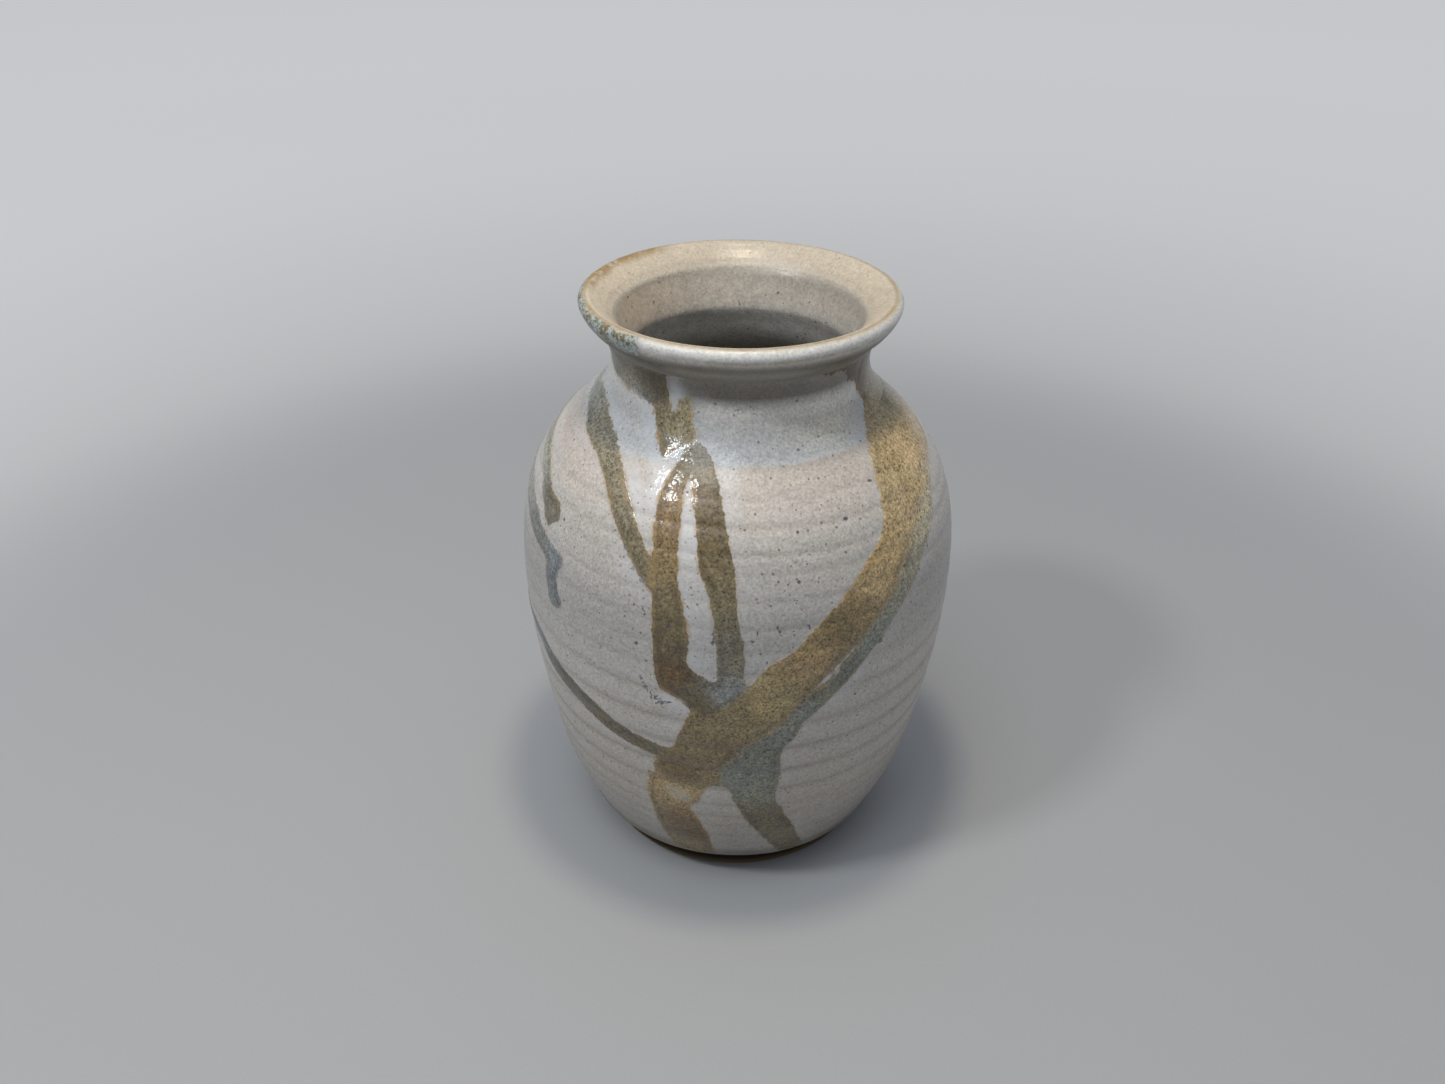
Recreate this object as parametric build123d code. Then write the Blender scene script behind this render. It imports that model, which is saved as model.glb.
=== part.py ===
from build123d import *
import math
import os

# ---------------------------------------------------------------- driving dimensions (mm)
HEIGHT = 200.0            # crest of the rim above the table
FOOT_R = 50.0             # outer radius of the bare foot ring where it meets the table
FOOT_INNER_R = 43.5       # inner radius of the foot ring
FOOT_RECESS = 3.6         # height of the turned recess under the floor
FLOOR_TOP = 11.0          # glaze surface of the inside floor
GLAZE_EDGE_Z = 10.6       # lower edge of the outside glaze
DIP_LINE_Z = 164.0        # lower edge of the overlapped blue-grey dip
NECK_TOP_Z = 187.5        # where the neck turns out into the underside of the rim
THROAT_R = 39.3           # inner edge of the rim funnel
THROAT_Z = 192.7
GLAZE_T = 0.40            # thickness of the glaze coats
TRAIL_T = 0.35            # extra thickness of the poured trails

# outside glaze surface, (radius, height)
OUTER = [
    (55.45, 10.6), (58.2, 17.2), (62.6, 27.7), (66.6, 42.8), (70.0, 61.8), (72.8, 82.6),
    (73.95, 103.4), (72.8, 124.2), (67.1, 143.2), (56.1, 158.3), (50.0, 164.0),
    (44.5, 169.7), (41.6, 176.5), (41.5, 182.3), (42.9, 187.5),
]
# rim, from the top of the neck over the rolled lip and down the inner funnel
RIM = [
    (42.9, 187.5), (44.6, 189.1), (46.4, 190.75), (47.9, 192.3), (49.1, 193.9), (50.0, 195.4), (50.5, 196.7),
    (50.75, 197.8), (50.4, 198.9), (49.5, 199.7), (48.4, 200.0), (47.2, 199.75), (45.4, 198.6), (43.0, 196.7),
    (41.0, 194.7), (39.3, 192.7),
]
# inside glaze surface, from the throat down to the middle of the floor
INNER = [
    (39.3, 192.7), (37.2, 188.4), (36.2, 184.0), (36.0, 179.6), (36.8, 174.5), (39.2, 169.5),
    (43.6, 164.6), (49.2, 159.4), (54.6, 153.2), (59.4, 145.8), (64.0, 135.0), (67.2, 120.0),
    (68.3, 103.0), (67.4, 85.0), (65.0, 66.0), (61.6, 48.0), (57.2, 32.0), (52.6, 21.0),
    (46.5, 14.6), (39.0, 12.0), (30.0, 11.2), (15.0, 11.0), (0.0, 11.0),
]

# ---------------------------------------------------------------- poured trails
# outlines as (angle in degrees from the front, positive to the right; height in mm)
TRAIL_RIGHT_BAND = [
    (60.5, 187), (59.8, 178.3), (59.5, 176), (61, 174), (62.3, 172), (61, 169.9), (59, 168.8), (56, 167),
    (53, 165), (50, 162.5), (48.5, 160.5), (46.8, 158.5), (45.8, 156), (44.8, 153), (43.5, 150), (43, 147.5),
    (42, 145.5), (40.5, 143), (38.5, 141), (36, 139), (33.5, 136.5), (31.5, 134.5), (29.5, 132), (27.5, 129.5),
    (25.5, 127), (23, 125), (21, 122.8), (19.5, 120.5), (17.5, 118.5), (16, 115.8), (14, 113.6), (11.5, 111.7),
    (9.5, 110.5), (7.8, 108.9), (6.6, 106.5), (5.4, 104.5), (4, 102.3), (3, 100.8), (0, 98), (-4, 93),
    (-7, 90.5), (-10.3, 90.3), (-11.2, 88), (-12.3, 85.5), (-13, 82), (-14, 79.5), (-14.6, 76), (-15.2, 73.3),
    (-16.5, 71.8), (-18.3, 71), (-20, 69.5), (-20.6, 67), (-20.8, 64.5), (-21.8, 62), (-21.5, 59), (-22, 57.7),
    (-24, 57.5), (-24.4, 54), (-24.8, 50), (-25.2, 46), (-25.1, 42), (-24.4, 38), (-24.2, 33), (-23.6, 27),
    (-23.1, 21), (-22.3, 17), (-21.3, 13.5), (-20.8, 11.5), (-6, 11.5), (-6, 14), (-6.8, 18), (-7.3, 22),
    (-7.6, 25), (-8.3, 28.5), (-9.3, 32), (-10, 35), (-11, 38), (-12.2, 41), (-12.8, 43.5), (-11, 45.3),
    (-9.5, 47.5), (-9, 50), (-8.5, 52), (-8, 53.5), (-7.2, 55), (-6.2, 56), (-4.5, 56.3), (-4, 58),
    (-4, 61), (-3.5, 64), (-2, 67), (-0.5, 70), (1, 73), (3, 76), (5.5, 78.5), (7.5, 80.5),
    (9.5, 82.5), (11.5, 84.5), (12.5, 87), (13.5, 90), (15.5, 93), (17.8, 95.6), (19.5, 97), (22.5, 99.5),
    (25, 102.5), (27, 105.5), (29, 108.5), (30.5, 110.5), (31.5, 112), (33, 114), (35.5, 117.5), (38, 120.5),
    (40, 123), (42.5, 126.5), (45, 131), (48, 135), (52, 139), (56, 142), (60, 144.5), (64, 146.5),
    (68, 148.3), (72, 149.5), (76, 150.3), (82, 151), (88, 152.5), (95, 155), (101, 160), (105, 166),
    (107, 173), (106, 181), (105, 187),
]
TRAIL_GREY_EDGE = [
    (-4.5, 56.3), (-4, 58), (-4, 61), (-3.5, 64), (-2, 67), (-0.5, 70), (1, 73), (3, 76),
    (5.5, 78.5), (7.5, 80.5), (9.5, 82.5), (11.5, 84.5), (12.5, 87), (13.5, 90), (15.5, 93), (17.8, 95.6),
    (19.5, 97), (22.5, 99.5), (25, 102.5), (27, 105.5), (29, 108.5), (30.5, 110.5), (31.5, 112), (33, 114),
    (35.5, 117.5), (38, 120.5), (40, 123), (42.5, 126.5), (45, 131), (48, 135), (52, 139), (56, 142),
    (60, 144.5), (64, 146.5), (68, 148.3), (72, 149.5), (76, 150.3), (72.5, 149), (70, 147), (67.5, 144.8),
    (65.5, 142.5), (63.5, 139.5), (61, 137), (59, 135), (57, 133), (54.5, 131), (52.5, 128.5), (50.5, 125.5),
    (48.5, 123), (46.5, 120.5), (44, 117.5), (41.5, 115), (39.5, 112), (38, 110.2), (37, 108.3), (35.5, 107.3),
    (34, 105), (32, 102.3), (29.5, 99), (27, 95.7), (25, 93.5), (23, 91), (20.5, 88), (18.5, 85.5),
    (17, 83.3), (16.3, 80.5), (15.3, 78), (14, 76.3), (13.2, 74.5), (12.5, 72.5), (12, 70.5), (12.3, 67),
    (12.4, 64), (12.4, 60.5), (12.3, 57), (12, 53), (11.7, 50), (12, 47.5), (13, 45), (14.2, 43),
    (15, 40), (16.2, 37.5), (17.3, 35), (18.3, 32.5), (19.5, 29), (20.6, 26), (21.7, 23), (22.6, 20),
    (24, 17.5), (25.3, 15), (26.5, 12.5), (27, 11.5), (17.5, 11.5), (16.2, 13), (14.5, 15.5), (13, 18.3),
    (11.8, 21.5), (10.3, 24), (9, 27), (7.5, 30), (6.3, 32.5), (5, 35), (3.8, 38), (2.7, 41),
    (1.6, 44), (0.8, 47), (0, 50), (-0.3, 52), (-1.2, 54.5), (-2.5, 56),
]
SLIVER_GAP = [
    (30.3, 110.8), (29.5, 107.8), (27, 104.5), (24.5, 101), (22, 98.5), (19.5, 96.5), (17.6, 95.2), (18.3, 97.2),
    (21, 100.5), (23.5, 103.5), (26, 106.5), (28.5, 109.8),
]
TRAIL_ARCH = [
    (-22.8, 157.5), (-23, 154), (-22.6, 150.5), (-22, 147), (-21.5, 143.5), (-21.2, 140.5), (-20.8, 137), (-20.4, 133),
    (-20.2, 129), (-20, 124), (-19.9, 119), (-19.8, 114), (-19.6, 109), (-19.4, 105), (-19.2, 102), (-18.8, 99.3),
    (-17.8, 97.3), (-15.8, 96), (-14, 94.5), (-12.5, 93.2), (-11, 91.5), (-9.5, 89.5), (-7.5, 88), (-4, 90),
    (0, 95), (3.2, 100.5), (2.5, 103), (2, 106), (2.3, 110), (2.1, 115), (1.7, 119), (0.9, 123),
    (0.5, 127), (0.2, 131), (-0.2, 135), (-0.5, 139), (-0.7, 142), (-1.7, 145.5), (-2.6, 149), (-3.3, 152),
    (-3.9, 155), (-5, 158), (-5.6, 160), (-7, 162.5), (-9, 165), (-11, 166.8), (-13.5, 167.9), (-16, 168.2),
    (-18.5, 167.3), (-20.3, 165), (-21.5, 161.5),
]
VOID_ARCH = [
    (-15.8, 160.4), (-14.3, 160.2), (-13.4, 158.5), (-12.6, 155.5), (-11.5, 152.5), (-10.8, 149.5), (-10.2, 146.5), (-9.8, 143),
    (-9.2, 140), (-8.3, 137), (-7, 134.5), (-6.2, 131), (-5.6, 127.5), (-5, 124), (-4.8, 120), (-4.5, 116),
    (-4.3, 111), (-4.3, 106), (-4.6, 103), (-6.5, 103.5), (-8.5, 104.8), (-10, 106.5), (-11, 108.5), (-11.5, 110.5),
    (-11.2, 113), (-10.8, 117), (-11.2, 120.5), (-11.8, 124), (-12.3, 127.5), (-13, 130.5), (-13.8, 134), (-14.2, 138),
    (-14.7, 142), (-15, 146), (-15.2, 150), (-15.5, 154), (-16.3, 157.5),
]
TRAIL_NECK_LEFT = [
    (-88, 187.2), (-88, 186), (-82, 183), (-77, 180.3), (-72, 178.3), (-66, 177.6), (-60, 177.2), (-55, 176.6),
    (-50, 176.6), (-45, 176), (-41, 175.6), (-37.5, 175.3), (-36.5, 173.5), (-35, 171.5), (-33.5, 169.8), (-31.5, 168),
    (-29.5, 166.3), (-27.5, 164.6), (-25.5, 164), (-24.5, 165.5), (-22, 166.8), (-19.5, 167.8), (-17.5, 168), (-16.5, 169.5),
    (-17.3, 171.5), (-18.5, 173.2), (-19.8, 175), (-20, 177.5), (-19.5, 180), (-20.5, 181), (-22, 180.5), (-23.5, 180),
    (-24.6, 178.5), (-25.5, 176.5), (-26.8, 175.2), (-28.5, 175.5), (-29.5, 177.5), (-29.8, 180), (-30.5, 183), (-30.5, 186),
    (-28, 187.2),
]
TRAIL_DIAGONAL = [
    (-146, 179.5), (-138, 177), (-128, 174.7), (-118, 173), (-108, 171.8), (-98, 170.8), (-92, 169), (-86, 169.5),
    (-80, 170), (-75, 170.3), (-70, 169.5), (-65, 168.8), (-60, 167.5), (-55, 166.2), (-50, 165), (-46, 163.5),
    (-43, 161.8), (-40, 160.3), (-37.5, 158.5), (-35, 156.3), (-32.5, 154), (-30, 151.5), (-28, 149), (-26, 146.5),
    (-24.3, 144), (-22.8, 142), (-21.6, 140.3), (-20.8, 138), (-20.2, 130.5), (-21.5, 132), (-23.3, 134), (-25, 136),
    (-26.5, 138), (-28.3, 140.5), (-30.5, 143), (-33, 146), (-35.5, 148.8), (-38, 151.2), (-41, 154), (-44, 156),
    (-47.5, 157.8), (-51, 159.2), (-55, 160), (-60, 160.8), (-66, 161.8), (-71, 163), (-77, 164.2), (-84, 165),
    (-92, 165.7), (-98, 166.1), (-108, 166.7), (-118, 167.8), (-128, 169.4), (-138, 171.8), (-146, 174),
]
TRAIL_LEFT_UPPER = [
    (-141, 163), (-130, 161.5), (-120, 160), (-110, 158.7), (-100, 157.5), (-92, 154.5), (-87, 153.5), (-82, 152.3),
    (-77, 151), (-73, 150.3), (-70, 149.3), (-67, 147.5), (-64, 146), (-61.5, 144.5), (-58, 144.3), (-55.5, 143.5),
    (-54, 142.2), (-53.2, 140.5), (-54, 138.8), (-55.8, 137.2), (-57.8, 135.5), (-60, 136.2), (-62, 138.5), (-64.5, 140.5),
    (-67, 142), (-70, 144), (-73, 145.5), (-77, 147), (-82, 148), (-87, 149), (-92, 149.5), (-100, 151.5),
    (-110, 152.2), (-120, 153), (-130, 154.5), (-141, 156.5),
]
TRAIL_LEFT_LOWER = [
    (-138, 150), (-128, 149.5), (-118, 149), (-108, 148.4), (-100, 147.5), (-92, 144.5), (-86, 142.5), (-80, 141),
    (-75, 139.8), (-70, 138), (-65, 136), (-61, 133.6), (-57, 132), (-53, 130.8), (-50.5, 131), (-48.8, 129.5),
    (-48, 127.8), (-49, 126), (-50, 124), (-50.5, 121.5), (-50, 118), (-49, 115.5), (-48.3, 113.5), (-49, 111.5),
    (-51, 110.2), (-53, 110.5), (-54.4, 112.5), (-54.8, 115.5), (-55.5, 118.5), (-56.3, 121.5), (-55.8, 124.3), (-57, 125.6),
    (-60, 126.5), (-64, 127.5), (-68, 129), (-73, 131), (-78, 132.5), (-84, 134.5), (-92, 136.5), (-100, 139.5),
    (-108, 140), (-118, 141), (-128, 142.5), (-138, 144),
]
TRAIL_LOWER_LEFT = [
    (-137, 126), (-130, 121), (-122, 116.5), (-114, 112.5), (-105, 108.5), (-96, 103.5), (-88, 99.5), (-80, 96.3),
    (-72, 94.8), (-67, 94.5), (-64, 94), (-61, 92.7), (-58.5, 90.5), (-56, 88.3), (-53, 86.2), (-50, 85),
    (-47, 84), (-44, 82.8), (-41, 81.5), (-38, 80), (-35, 78.2), (-32.5, 76.3), (-30, 74.8), (-27.5, 74),
    (-25, 73.4), (-22.5, 72.8), (-20, 71.8), (-17.5, 71), (-20.5, 66.5), (-23, 67), (-26, 67.8), (-29, 68.5),
    (-32, 69.5), (-35, 70.5), (-38, 72), (-41, 73.5), (-44, 74.8), (-47, 76), (-50, 77.7), (-53, 79),
    (-56, 80.5), (-59, 82), (-61.5, 84), (-64, 86), (-67, 88.3), (-70, 90), (-76, 91.5), (-84, 94),
    (-92, 98), (-100, 101.5), (-107, 104.3), (-114, 107.5), (-122, 111.5), (-130, 116), (-137, 120),
]
NECK_RIGHT_DRAPE = [
    (33.9, 187.2), (36, 186.3), (40, 185.6), (45, 186.2), (48, 185), (50, 183.3), (52, 181), (55, 179.8),
    (58, 179.8), (59.8, 178.3), (60.5, 187.2),
]

RIM_LEFT_PATCH = [
    (-96.0, 199.3), (-96.0, 195.6), (-88.0, 194.4), (-74.0, 194.2), (-58.0, 194.2), (-42.0, 194.4),
    (-36.0, 195.4), (-34.0, 197.2), (-37.0, 198.6), (-46.0, 199.2), (-62.0, 199.4), (-80.0, 199.5),
]
BACK_POUR = [
    (150.0, 186.2), (146.0, 176.0), (141.0, 166.0), (138.0, 154.0), (137.5, 140.0), (139.5, 124.0),
    (143.5, 106.0), (149.0, 90.0), (155.0, 76.0), (159.0, 64.0), (161.0, 52.0), (163.5, 45.0),
    (167.0, 43.0), (169.5, 47.0), (169.5, 58.0), (167.0, 72.0), (162.5, 86.0), (157.0, 101.0),
    (152.5, 116.0), (150.0, 132.0), (150.5, 146.0), (153.5, 158.0), (159.0, 168.0), (165.0, 177.0),
    (168.0, 186.2),
]
BACK_RUN = [
    (-150.0, 186.2), (-146.5, 174.0), (-142.0, 163.0), (-138.0, 150.0), (-135.5, 134.0),
    (-134.5, 118.0), (-135.0, 104.0), (-137.0, 95.0), (-139.5, 92.5), (-142.0, 95.5),
    (-142.5, 106.0), (-142.3, 120.0), (-143.5, 135.0), (-146.5, 150.0), (-151.0, 163.0),
    (-156.5, 174.0), (-160.0, 186.2),
]


# ---------------------------------------------------------------- curve helpers
def natural_spline(points, step):
    """Dense points on a smooth curve through (radius, height) points."""
    t = [0.0]
    for a, b in zip(points, points[1:]):
        t.append(t[-1] + math.hypot(b[0] - a[0], b[1] - a[1]))
    n = len(points)

    def second(v):
        a, b, c, d = [0.0] * n, [1.0] * n, [0.0] * n, [0.0] * n
        for i in range(1, n - 1):
            h0, h1 = t[i] - t[i - 1], t[i + 1] - t[i]
            a[i], b[i], c[i] = h0, 2 * (h0 + h1), h1
            d[i] = 6 * ((v[i + 1] - v[i]) / h1 - (v[i] - v[i - 1]) / h0)
        for i in range(1, n):
            w = a[i] / b[i - 1]
            b[i] -= w * c[i - 1]
            d[i] -= w * d[i - 1]
        m = [0.0] * n
        m[-1] = d[-1] / b[-1]
        for i in range(n - 2, -1, -1):
            m[i] = (d[i] - c[i] * m[i + 1]) / b[i]
        return m

    xs, ys = [p[0] for p in points], [p[1] for p in points]
    mx, my = second(xs), second(ys)

    def value(v, m, i, s):
        h = t[i + 1] - t[i]
        A, B = (t[i + 1] - s) / h, (s - t[i]) / h
        return A * v[i] + B * v[i + 1] + ((A ** 3 - A) * m[i] + (B ** 3 - B) * m[i + 1]) * h * h / 6

    out = []
    for i in range(n - 1):
        k = max(1, round((t[i + 1] - t[i]) / step))
        for j in range(k):
            s = t[i] + (t[i + 1] - t[i]) * j / k
            out.append((value(xs, mx, i, s), value(ys, my, i, s)))
    out.append(points[-1])
    return out


def normals(points):
    """Unit normals, to the right hand of the walking direction."""
    out = []
    for i in range(len(points)):
        a, b = points[max(i - 1, 0)], points[min(i + 1, len(points) - 1)]
        dx, dy = b[0] - a[0], b[1] - a[1]
        L = math.hypot(dx, dy)
        out.append((dy / L, -dx / L))
    return out


smooth = natural_spline(OUTER, 4.0)
full = list(smooth)
rim_curve = natural_spline(RIM, 0.8)
inner_curve = natural_spline(INNER, 3.0)
whole = full + rim_curve[1:] + inner_curve[1:]
norm = normals(whole)
norm[-1] = (0.0, 1.0)
i_dip = min(range(len(full)), key=lambda i: abs(full[i][1] - DIP_LINE_Z))
i_neck = len(full) - 1
i_throat = i_neck + len(rim_curve) - 1
i_crest = max(range(i_neck, i_throat), key=lambda i: whole[i][1])
i_end = len(whole) - 1


def level(distance, i0, i1):
    """Points of the glaze surface from i0 to i1, moved along its normal."""
    return [(whole[i][0] + distance * norm[i][0], whole[i][1] + distance * norm[i][1])
            for i in range(i0, i1 + 1)]


def curve(points):
    return Spline(*[Vector(r, 0, z) for r, z in points])


def line(a, b):
    return Line(Vector(a[0], 0, a[1]), Vector(b[0], 0, b[1]))


def ring(edges):
    return revolve(Face(Wire(edges)), Axis.Z, 360)


BANDS = [(0, i_dip), (i_dip, i_neck), (i_neck, i_throat), (i_throat, i_end)]
glaze_edges = [curve(level(0.0, a, b)) for a, b in BANDS]
clay_edges = [curve(level(-GLAZE_T, a, b)) for a, b in BANDS]


def coat(k):
    """One glaze band between the clay and its own outer surface."""
    a, b = BANDS[k]
    g, c = level(0.0, a, b), level(-GLAZE_T, a, b)
    edges = [glaze_edges[k], clay_edges[k], line(c[0], g[0])]
    if k == 3:
        edges.append(line(g[-1], c[-1]))
    else:
        edges.append(line(g[-1], c[-1]))
    return ring(edges)


# ---------------------------------------------------------------- clay body
clay0 = level(-GLAZE_T, 0, 0)[0]
clay_end = level(-GLAZE_T, i_end, i_end)[0]
foot = [
    clay0, (54.2, 9.3), (50.6, 7.4), (48.6, 5.6), (48.7, 3.6), (49.6, 1.3),
    (FOOT_R, 0.7), (FOOT_R - 0.6, 0.0), (FOOT_INNER_R + 0.8, 0.0), (FOOT_INNER_R, 0.8),
    (FOOT_INNER_R - 0.8, FOOT_RECESS - 0.7), (FOOT_INNER_R - 2.2, FOOT_RECESS), (0.0, FOOT_RECESS),
]
body_edges = list(clay_edges)
body_edges += [line(a, b) for a, b in zip(foot, foot[1:])]
body_edges.append(line(foot[-1], clay_end))
stoneware_body = ring(body_edges)

glaze_coat_body = coat(0)
glaze_dip_collar = coat(1)
glaze_rim = coat(2)
glaze_liner = coat(3)

# ---------------------------------------------------------------- trail layer
parts_of_layer = []
for a, b, edge in ((0, i_dip, glaze_edges[0]), (i_dip, i_neck, glaze_edges[1])):
    g, t = level(0.0, a, b), level(TRAIL_T, a, b)
    parts_of_layer.append(ring([edge, line(g[-1], t[-1]), curve(t), line(t[0], g[0])]))
rim_layer_t = level(TRAIL_T, i_neck, i_throat)
rim_layer = ring([glaze_edges[2], line(whole[i_throat], rim_layer_t[-1]), curve(rim_layer_t),
                  line(rim_layer_t[0], whole[i_neck])])


def radius_at(z, table):
    for a, b in zip(table, table[1:]):
        if a[1] <= z <= b[1]:
            return a[0] + (b[0] - a[0]) * (z - a[1]) / (b[1] - a[1])
    return table[0][0] if z < table[0][1] else table[-1][0]


def prism(outline, middle, radius=None):
    """Outline drawn on the pot, pushed straight out along one direction."""
    pts = []
    for th, z in outline:
        r = radius if radius else radius_at(z, smooth)
        pts.append((r * math.sin(math.radians(th - middle)), z))
    # local x runs to the right as seen from outside, local y is up
    m = math.radians(middle)
    out = Vector(math.sin(m), -math.cos(m), 0)
    right = Vector(math.cos(m), math.sin(m), 0)
    plane = Plane(origin=out * 4.0, x_dir=right, z_dir=out)
    corners = [plane.from_local_coords(Vector(u, z, 0)) for u, z in pts]
    return extrude(Face(Wire.make_polygon(corners, close=True)), amount=90.0, dir=out)


def as_solids(shape):
    if shape is None:
        return []
    if hasattr(shape, "solids"):
        return list(shape.solids())
    return [s for one in shape for s in one.solids()]


def on_pot(outline, middle, minus=(), radius=None, rim=False):
    tool = prism(outline, middle, radius)
    layers = [rim_layer] if rim else parts_of_layer
    solids = []
    for layer in layers:
        pieces = as_solids(layer & tool)
        for other in minus:
            pieces = [q for s in pieces for q in as_solids(s - other)]
        solids += [s for s in pieces if s.volume > 0.8]
    out = solids[0]
    for s in solids[1:]:
        out = out + s
    return out


band_tool = prism(TRAIL_RIGHT_BAND, 41.0)
grey_tool = prism(TRAIL_GREY_EDGE, 25.0)
sliver_tool = prism(SLIVER_GAP, 24.0)
arch_tool = prism(TRAIL_ARCH, -10.0)
void_tool = prism(VOID_ARCH, -10.0)
back_left_tool = prism(BACK_RUN, -145.0)
back_left_tool = prism(BACK_RUN, -145.0)
inside_of_lip = Pos(0, 0, 190) * Cylinder(48.9, 30)

trail_right_band = on_pot(TRAIL_RIGHT_BAND, 41.0, minus=[sliver_tool])
trail_grey_edge = on_pot(TRAIL_GREY_EDGE, 25.0, minus=[band_tool, sliver_tool])
trail_arch = on_pot(TRAIL_ARCH, -10.0, minus=[void_tool, band_tool, grey_tool])
trail_neck_left = on_pot(TRAIL_NECK_LEFT, -45.0, minus=[arch_tool])
trail_diagonal = on_pot(TRAIL_DIAGONAL, -80.0, minus=[arch_tool, back_left_tool])
trail_left_upper = on_pot(TRAIL_LEFT_UPPER, -97.0, minus=[back_left_tool])
trail_left_lower = on_pot(TRAIL_LEFT_LOWER, -93.0, minus=[back_left_tool])
trail_lower_left = on_pot(TRAIL_LOWER_LEFT, -77.0, minus=[band_tool, back_left_tool])
drape_neck_right = on_pot(NECK_RIGHT_DRAPE, 46.0, minus=[band_tool])
patch_rim_left = on_pot(RIM_LEFT_PATCH, -65.0, minus=[inside_of_lip], radius=50.6, rim=True)
pour_back = on_pot(BACK_POUR, 154.0)
run_back_left = on_pot(BACK_RUN, -145.0)

# ---------------------------------------------------------------- export
NODES = {
    "stoneware_body": stoneware_body,
    "glaze_coat_body": glaze_coat_body,
    "glaze_dip_collar": glaze_dip_collar,
    "glaze_rim": glaze_rim,
    "glaze_liner": glaze_liner,
    "trail_right_band": trail_right_band,
    "trail_grey_edge": trail_grey_edge,
    "trail_arch": trail_arch,
    "trail_neck_left": trail_neck_left,
    "trail_diagonal": trail_diagonal,
    "trail_left_upper": trail_left_upper,
    "trail_left_lower": trail_left_lower,
    "trail_lower_left": trail_lower_left,
    "drape_neck_right": drape_neck_right,
    "patch_rim_left": patch_rim_left,
    "pour_back": pour_back,
    "run_back_left": run_back_left,
}
os.makedirs("parts", exist_ok=True)
for name, shape in NODES.items():
    export_step(shape, f"parts/{name}.step")
    solids = shape.solids()
    box = shape.bounding_box()
    print(f"{name}: solids {len(solids)}, volume {sum(s.volume for s in solids):.1f} mm3, "
          f"z {box.min.Z:.2f}..{box.max.Z:.2f}, valid {all(s.is_valid for s in solids)}")
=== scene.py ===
import math
import bpy
import numpy as np
from mathutils import Matrix, Vector


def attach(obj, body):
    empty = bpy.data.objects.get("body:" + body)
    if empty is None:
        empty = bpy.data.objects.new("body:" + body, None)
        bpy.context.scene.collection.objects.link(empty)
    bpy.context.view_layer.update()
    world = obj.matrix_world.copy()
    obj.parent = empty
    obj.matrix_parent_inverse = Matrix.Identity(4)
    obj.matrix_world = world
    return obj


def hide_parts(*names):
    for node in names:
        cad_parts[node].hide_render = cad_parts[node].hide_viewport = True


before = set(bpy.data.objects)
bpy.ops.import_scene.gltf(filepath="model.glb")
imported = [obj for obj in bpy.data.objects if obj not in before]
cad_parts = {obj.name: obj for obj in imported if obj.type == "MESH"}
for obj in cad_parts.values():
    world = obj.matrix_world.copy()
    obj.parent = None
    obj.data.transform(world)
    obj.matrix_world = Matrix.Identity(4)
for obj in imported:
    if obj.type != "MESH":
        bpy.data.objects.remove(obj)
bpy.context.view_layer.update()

view = bpy.context.scene.view_settings
view.view_transform = "Standard"
view.look = "None"
view.exposure = 0.0
view.gamma = 1.0

# =====================================================================================
# Camera, lights, floor
# =====================================================================================
def make_camera():
    pitch, yaw, roll = math.radians(31.8376), math.radians(-0.80993), math.radians(0.4476)
    fw = Vector((math.sin(yaw) * math.cos(pitch), math.cos(yaw) * math.cos(pitch), -math.sin(pitch)))
    rt = Vector((math.cos(yaw), -math.sin(yaw), 0.0))
    up = rt.cross(fw)
    rt2 = math.cos(roll) * rt + math.sin(roll) * up
    up2 = -math.sin(roll) * rt + math.cos(roll) * up
    data = bpy.data.cameras.new("camera_main")
    data.sensor_fit = "HORIZONTAL"
    data.sensor_width = 36.0
    data.lens = 1200.0 / 1445.0 * 36.0
    data.clip_start = 0.01
    data.clip_end = 200.0
    cam = bpy.data.objects.new("camera_main", data)
    bpy.context.scene.collection.objects.link(cam)
    m = Matrix((
        (rt2.x, up2.x, -fw.x, 0.0),
        (rt2.y, up2.y, -fw.y, -0.3590055),
        (rt2.z, up2.z, -fw.z, 0.3299415),
        (0.0, 0.0, 0.0, 1.0),
    ))
    cam.matrix_world = m
    bpy.context.scene.camera = cam
    return cam


make_camera()


def area(name, loc, target, size, power, colour, shape="DISK", size_y=None, spread=None):
    data = bpy.data.lights.new(name, "AREA")
    data.shape = shape
    data.size = size
    if size_y:
        data.size_y = size_y
    data.energy = power
    data.color = colour
    if spread:
        data.spread = math.radians(spread)
    ob = bpy.data.objects.new(name, data)
    bpy.context.scene.collection.objects.link(ob)
    ob.location = loc
    ob.rotation_euler = (Vector(target) - Vector(loc)).to_track_quat("-Z", "Y").to_euler()
    return ob


RING_MM = 0.36
TRAIL_MM = 0.20
RIM_TILT_X, RIM_TILT_Y = 0.0, 0.0
RIM_SHIFT_X, RIM_SHIFT_Y = 0.0, 0.0
GROOVE_TINT = 0.34
COAT_W, COAT_R = 0.50, 0.10
HALO_LOW, HALO_DIP = (0.58, 0.585, 0.59), (0.56, 0.585, 0.61)
FRINGE_COL = (0.36, 0.225, 0.08)
RUN_OVER_DIP = (0.90, 0.92, 0.96)
OCHRE_LINE = (0.27, 0.175, 0.07)
RIM_SMEAR = (0.26, 0.165, 0.06)
RIM_BLUE = (0.35, 0.405, 0.385)
RIM_OLIVE = (0.175, 0.145, 0.070)
CREST_OFF = 0.0
KEY_W, SOFT_W, FRONT_W = 1.05, 3.1, 2.35
WORLD_LOW, WORLD_MID, WORLD_TOP = (0.062, 0.066, 0.073, 1), (0.080, 0.086, 0.098, 1), (0.74, 0.79, 0.87, 1)
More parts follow.
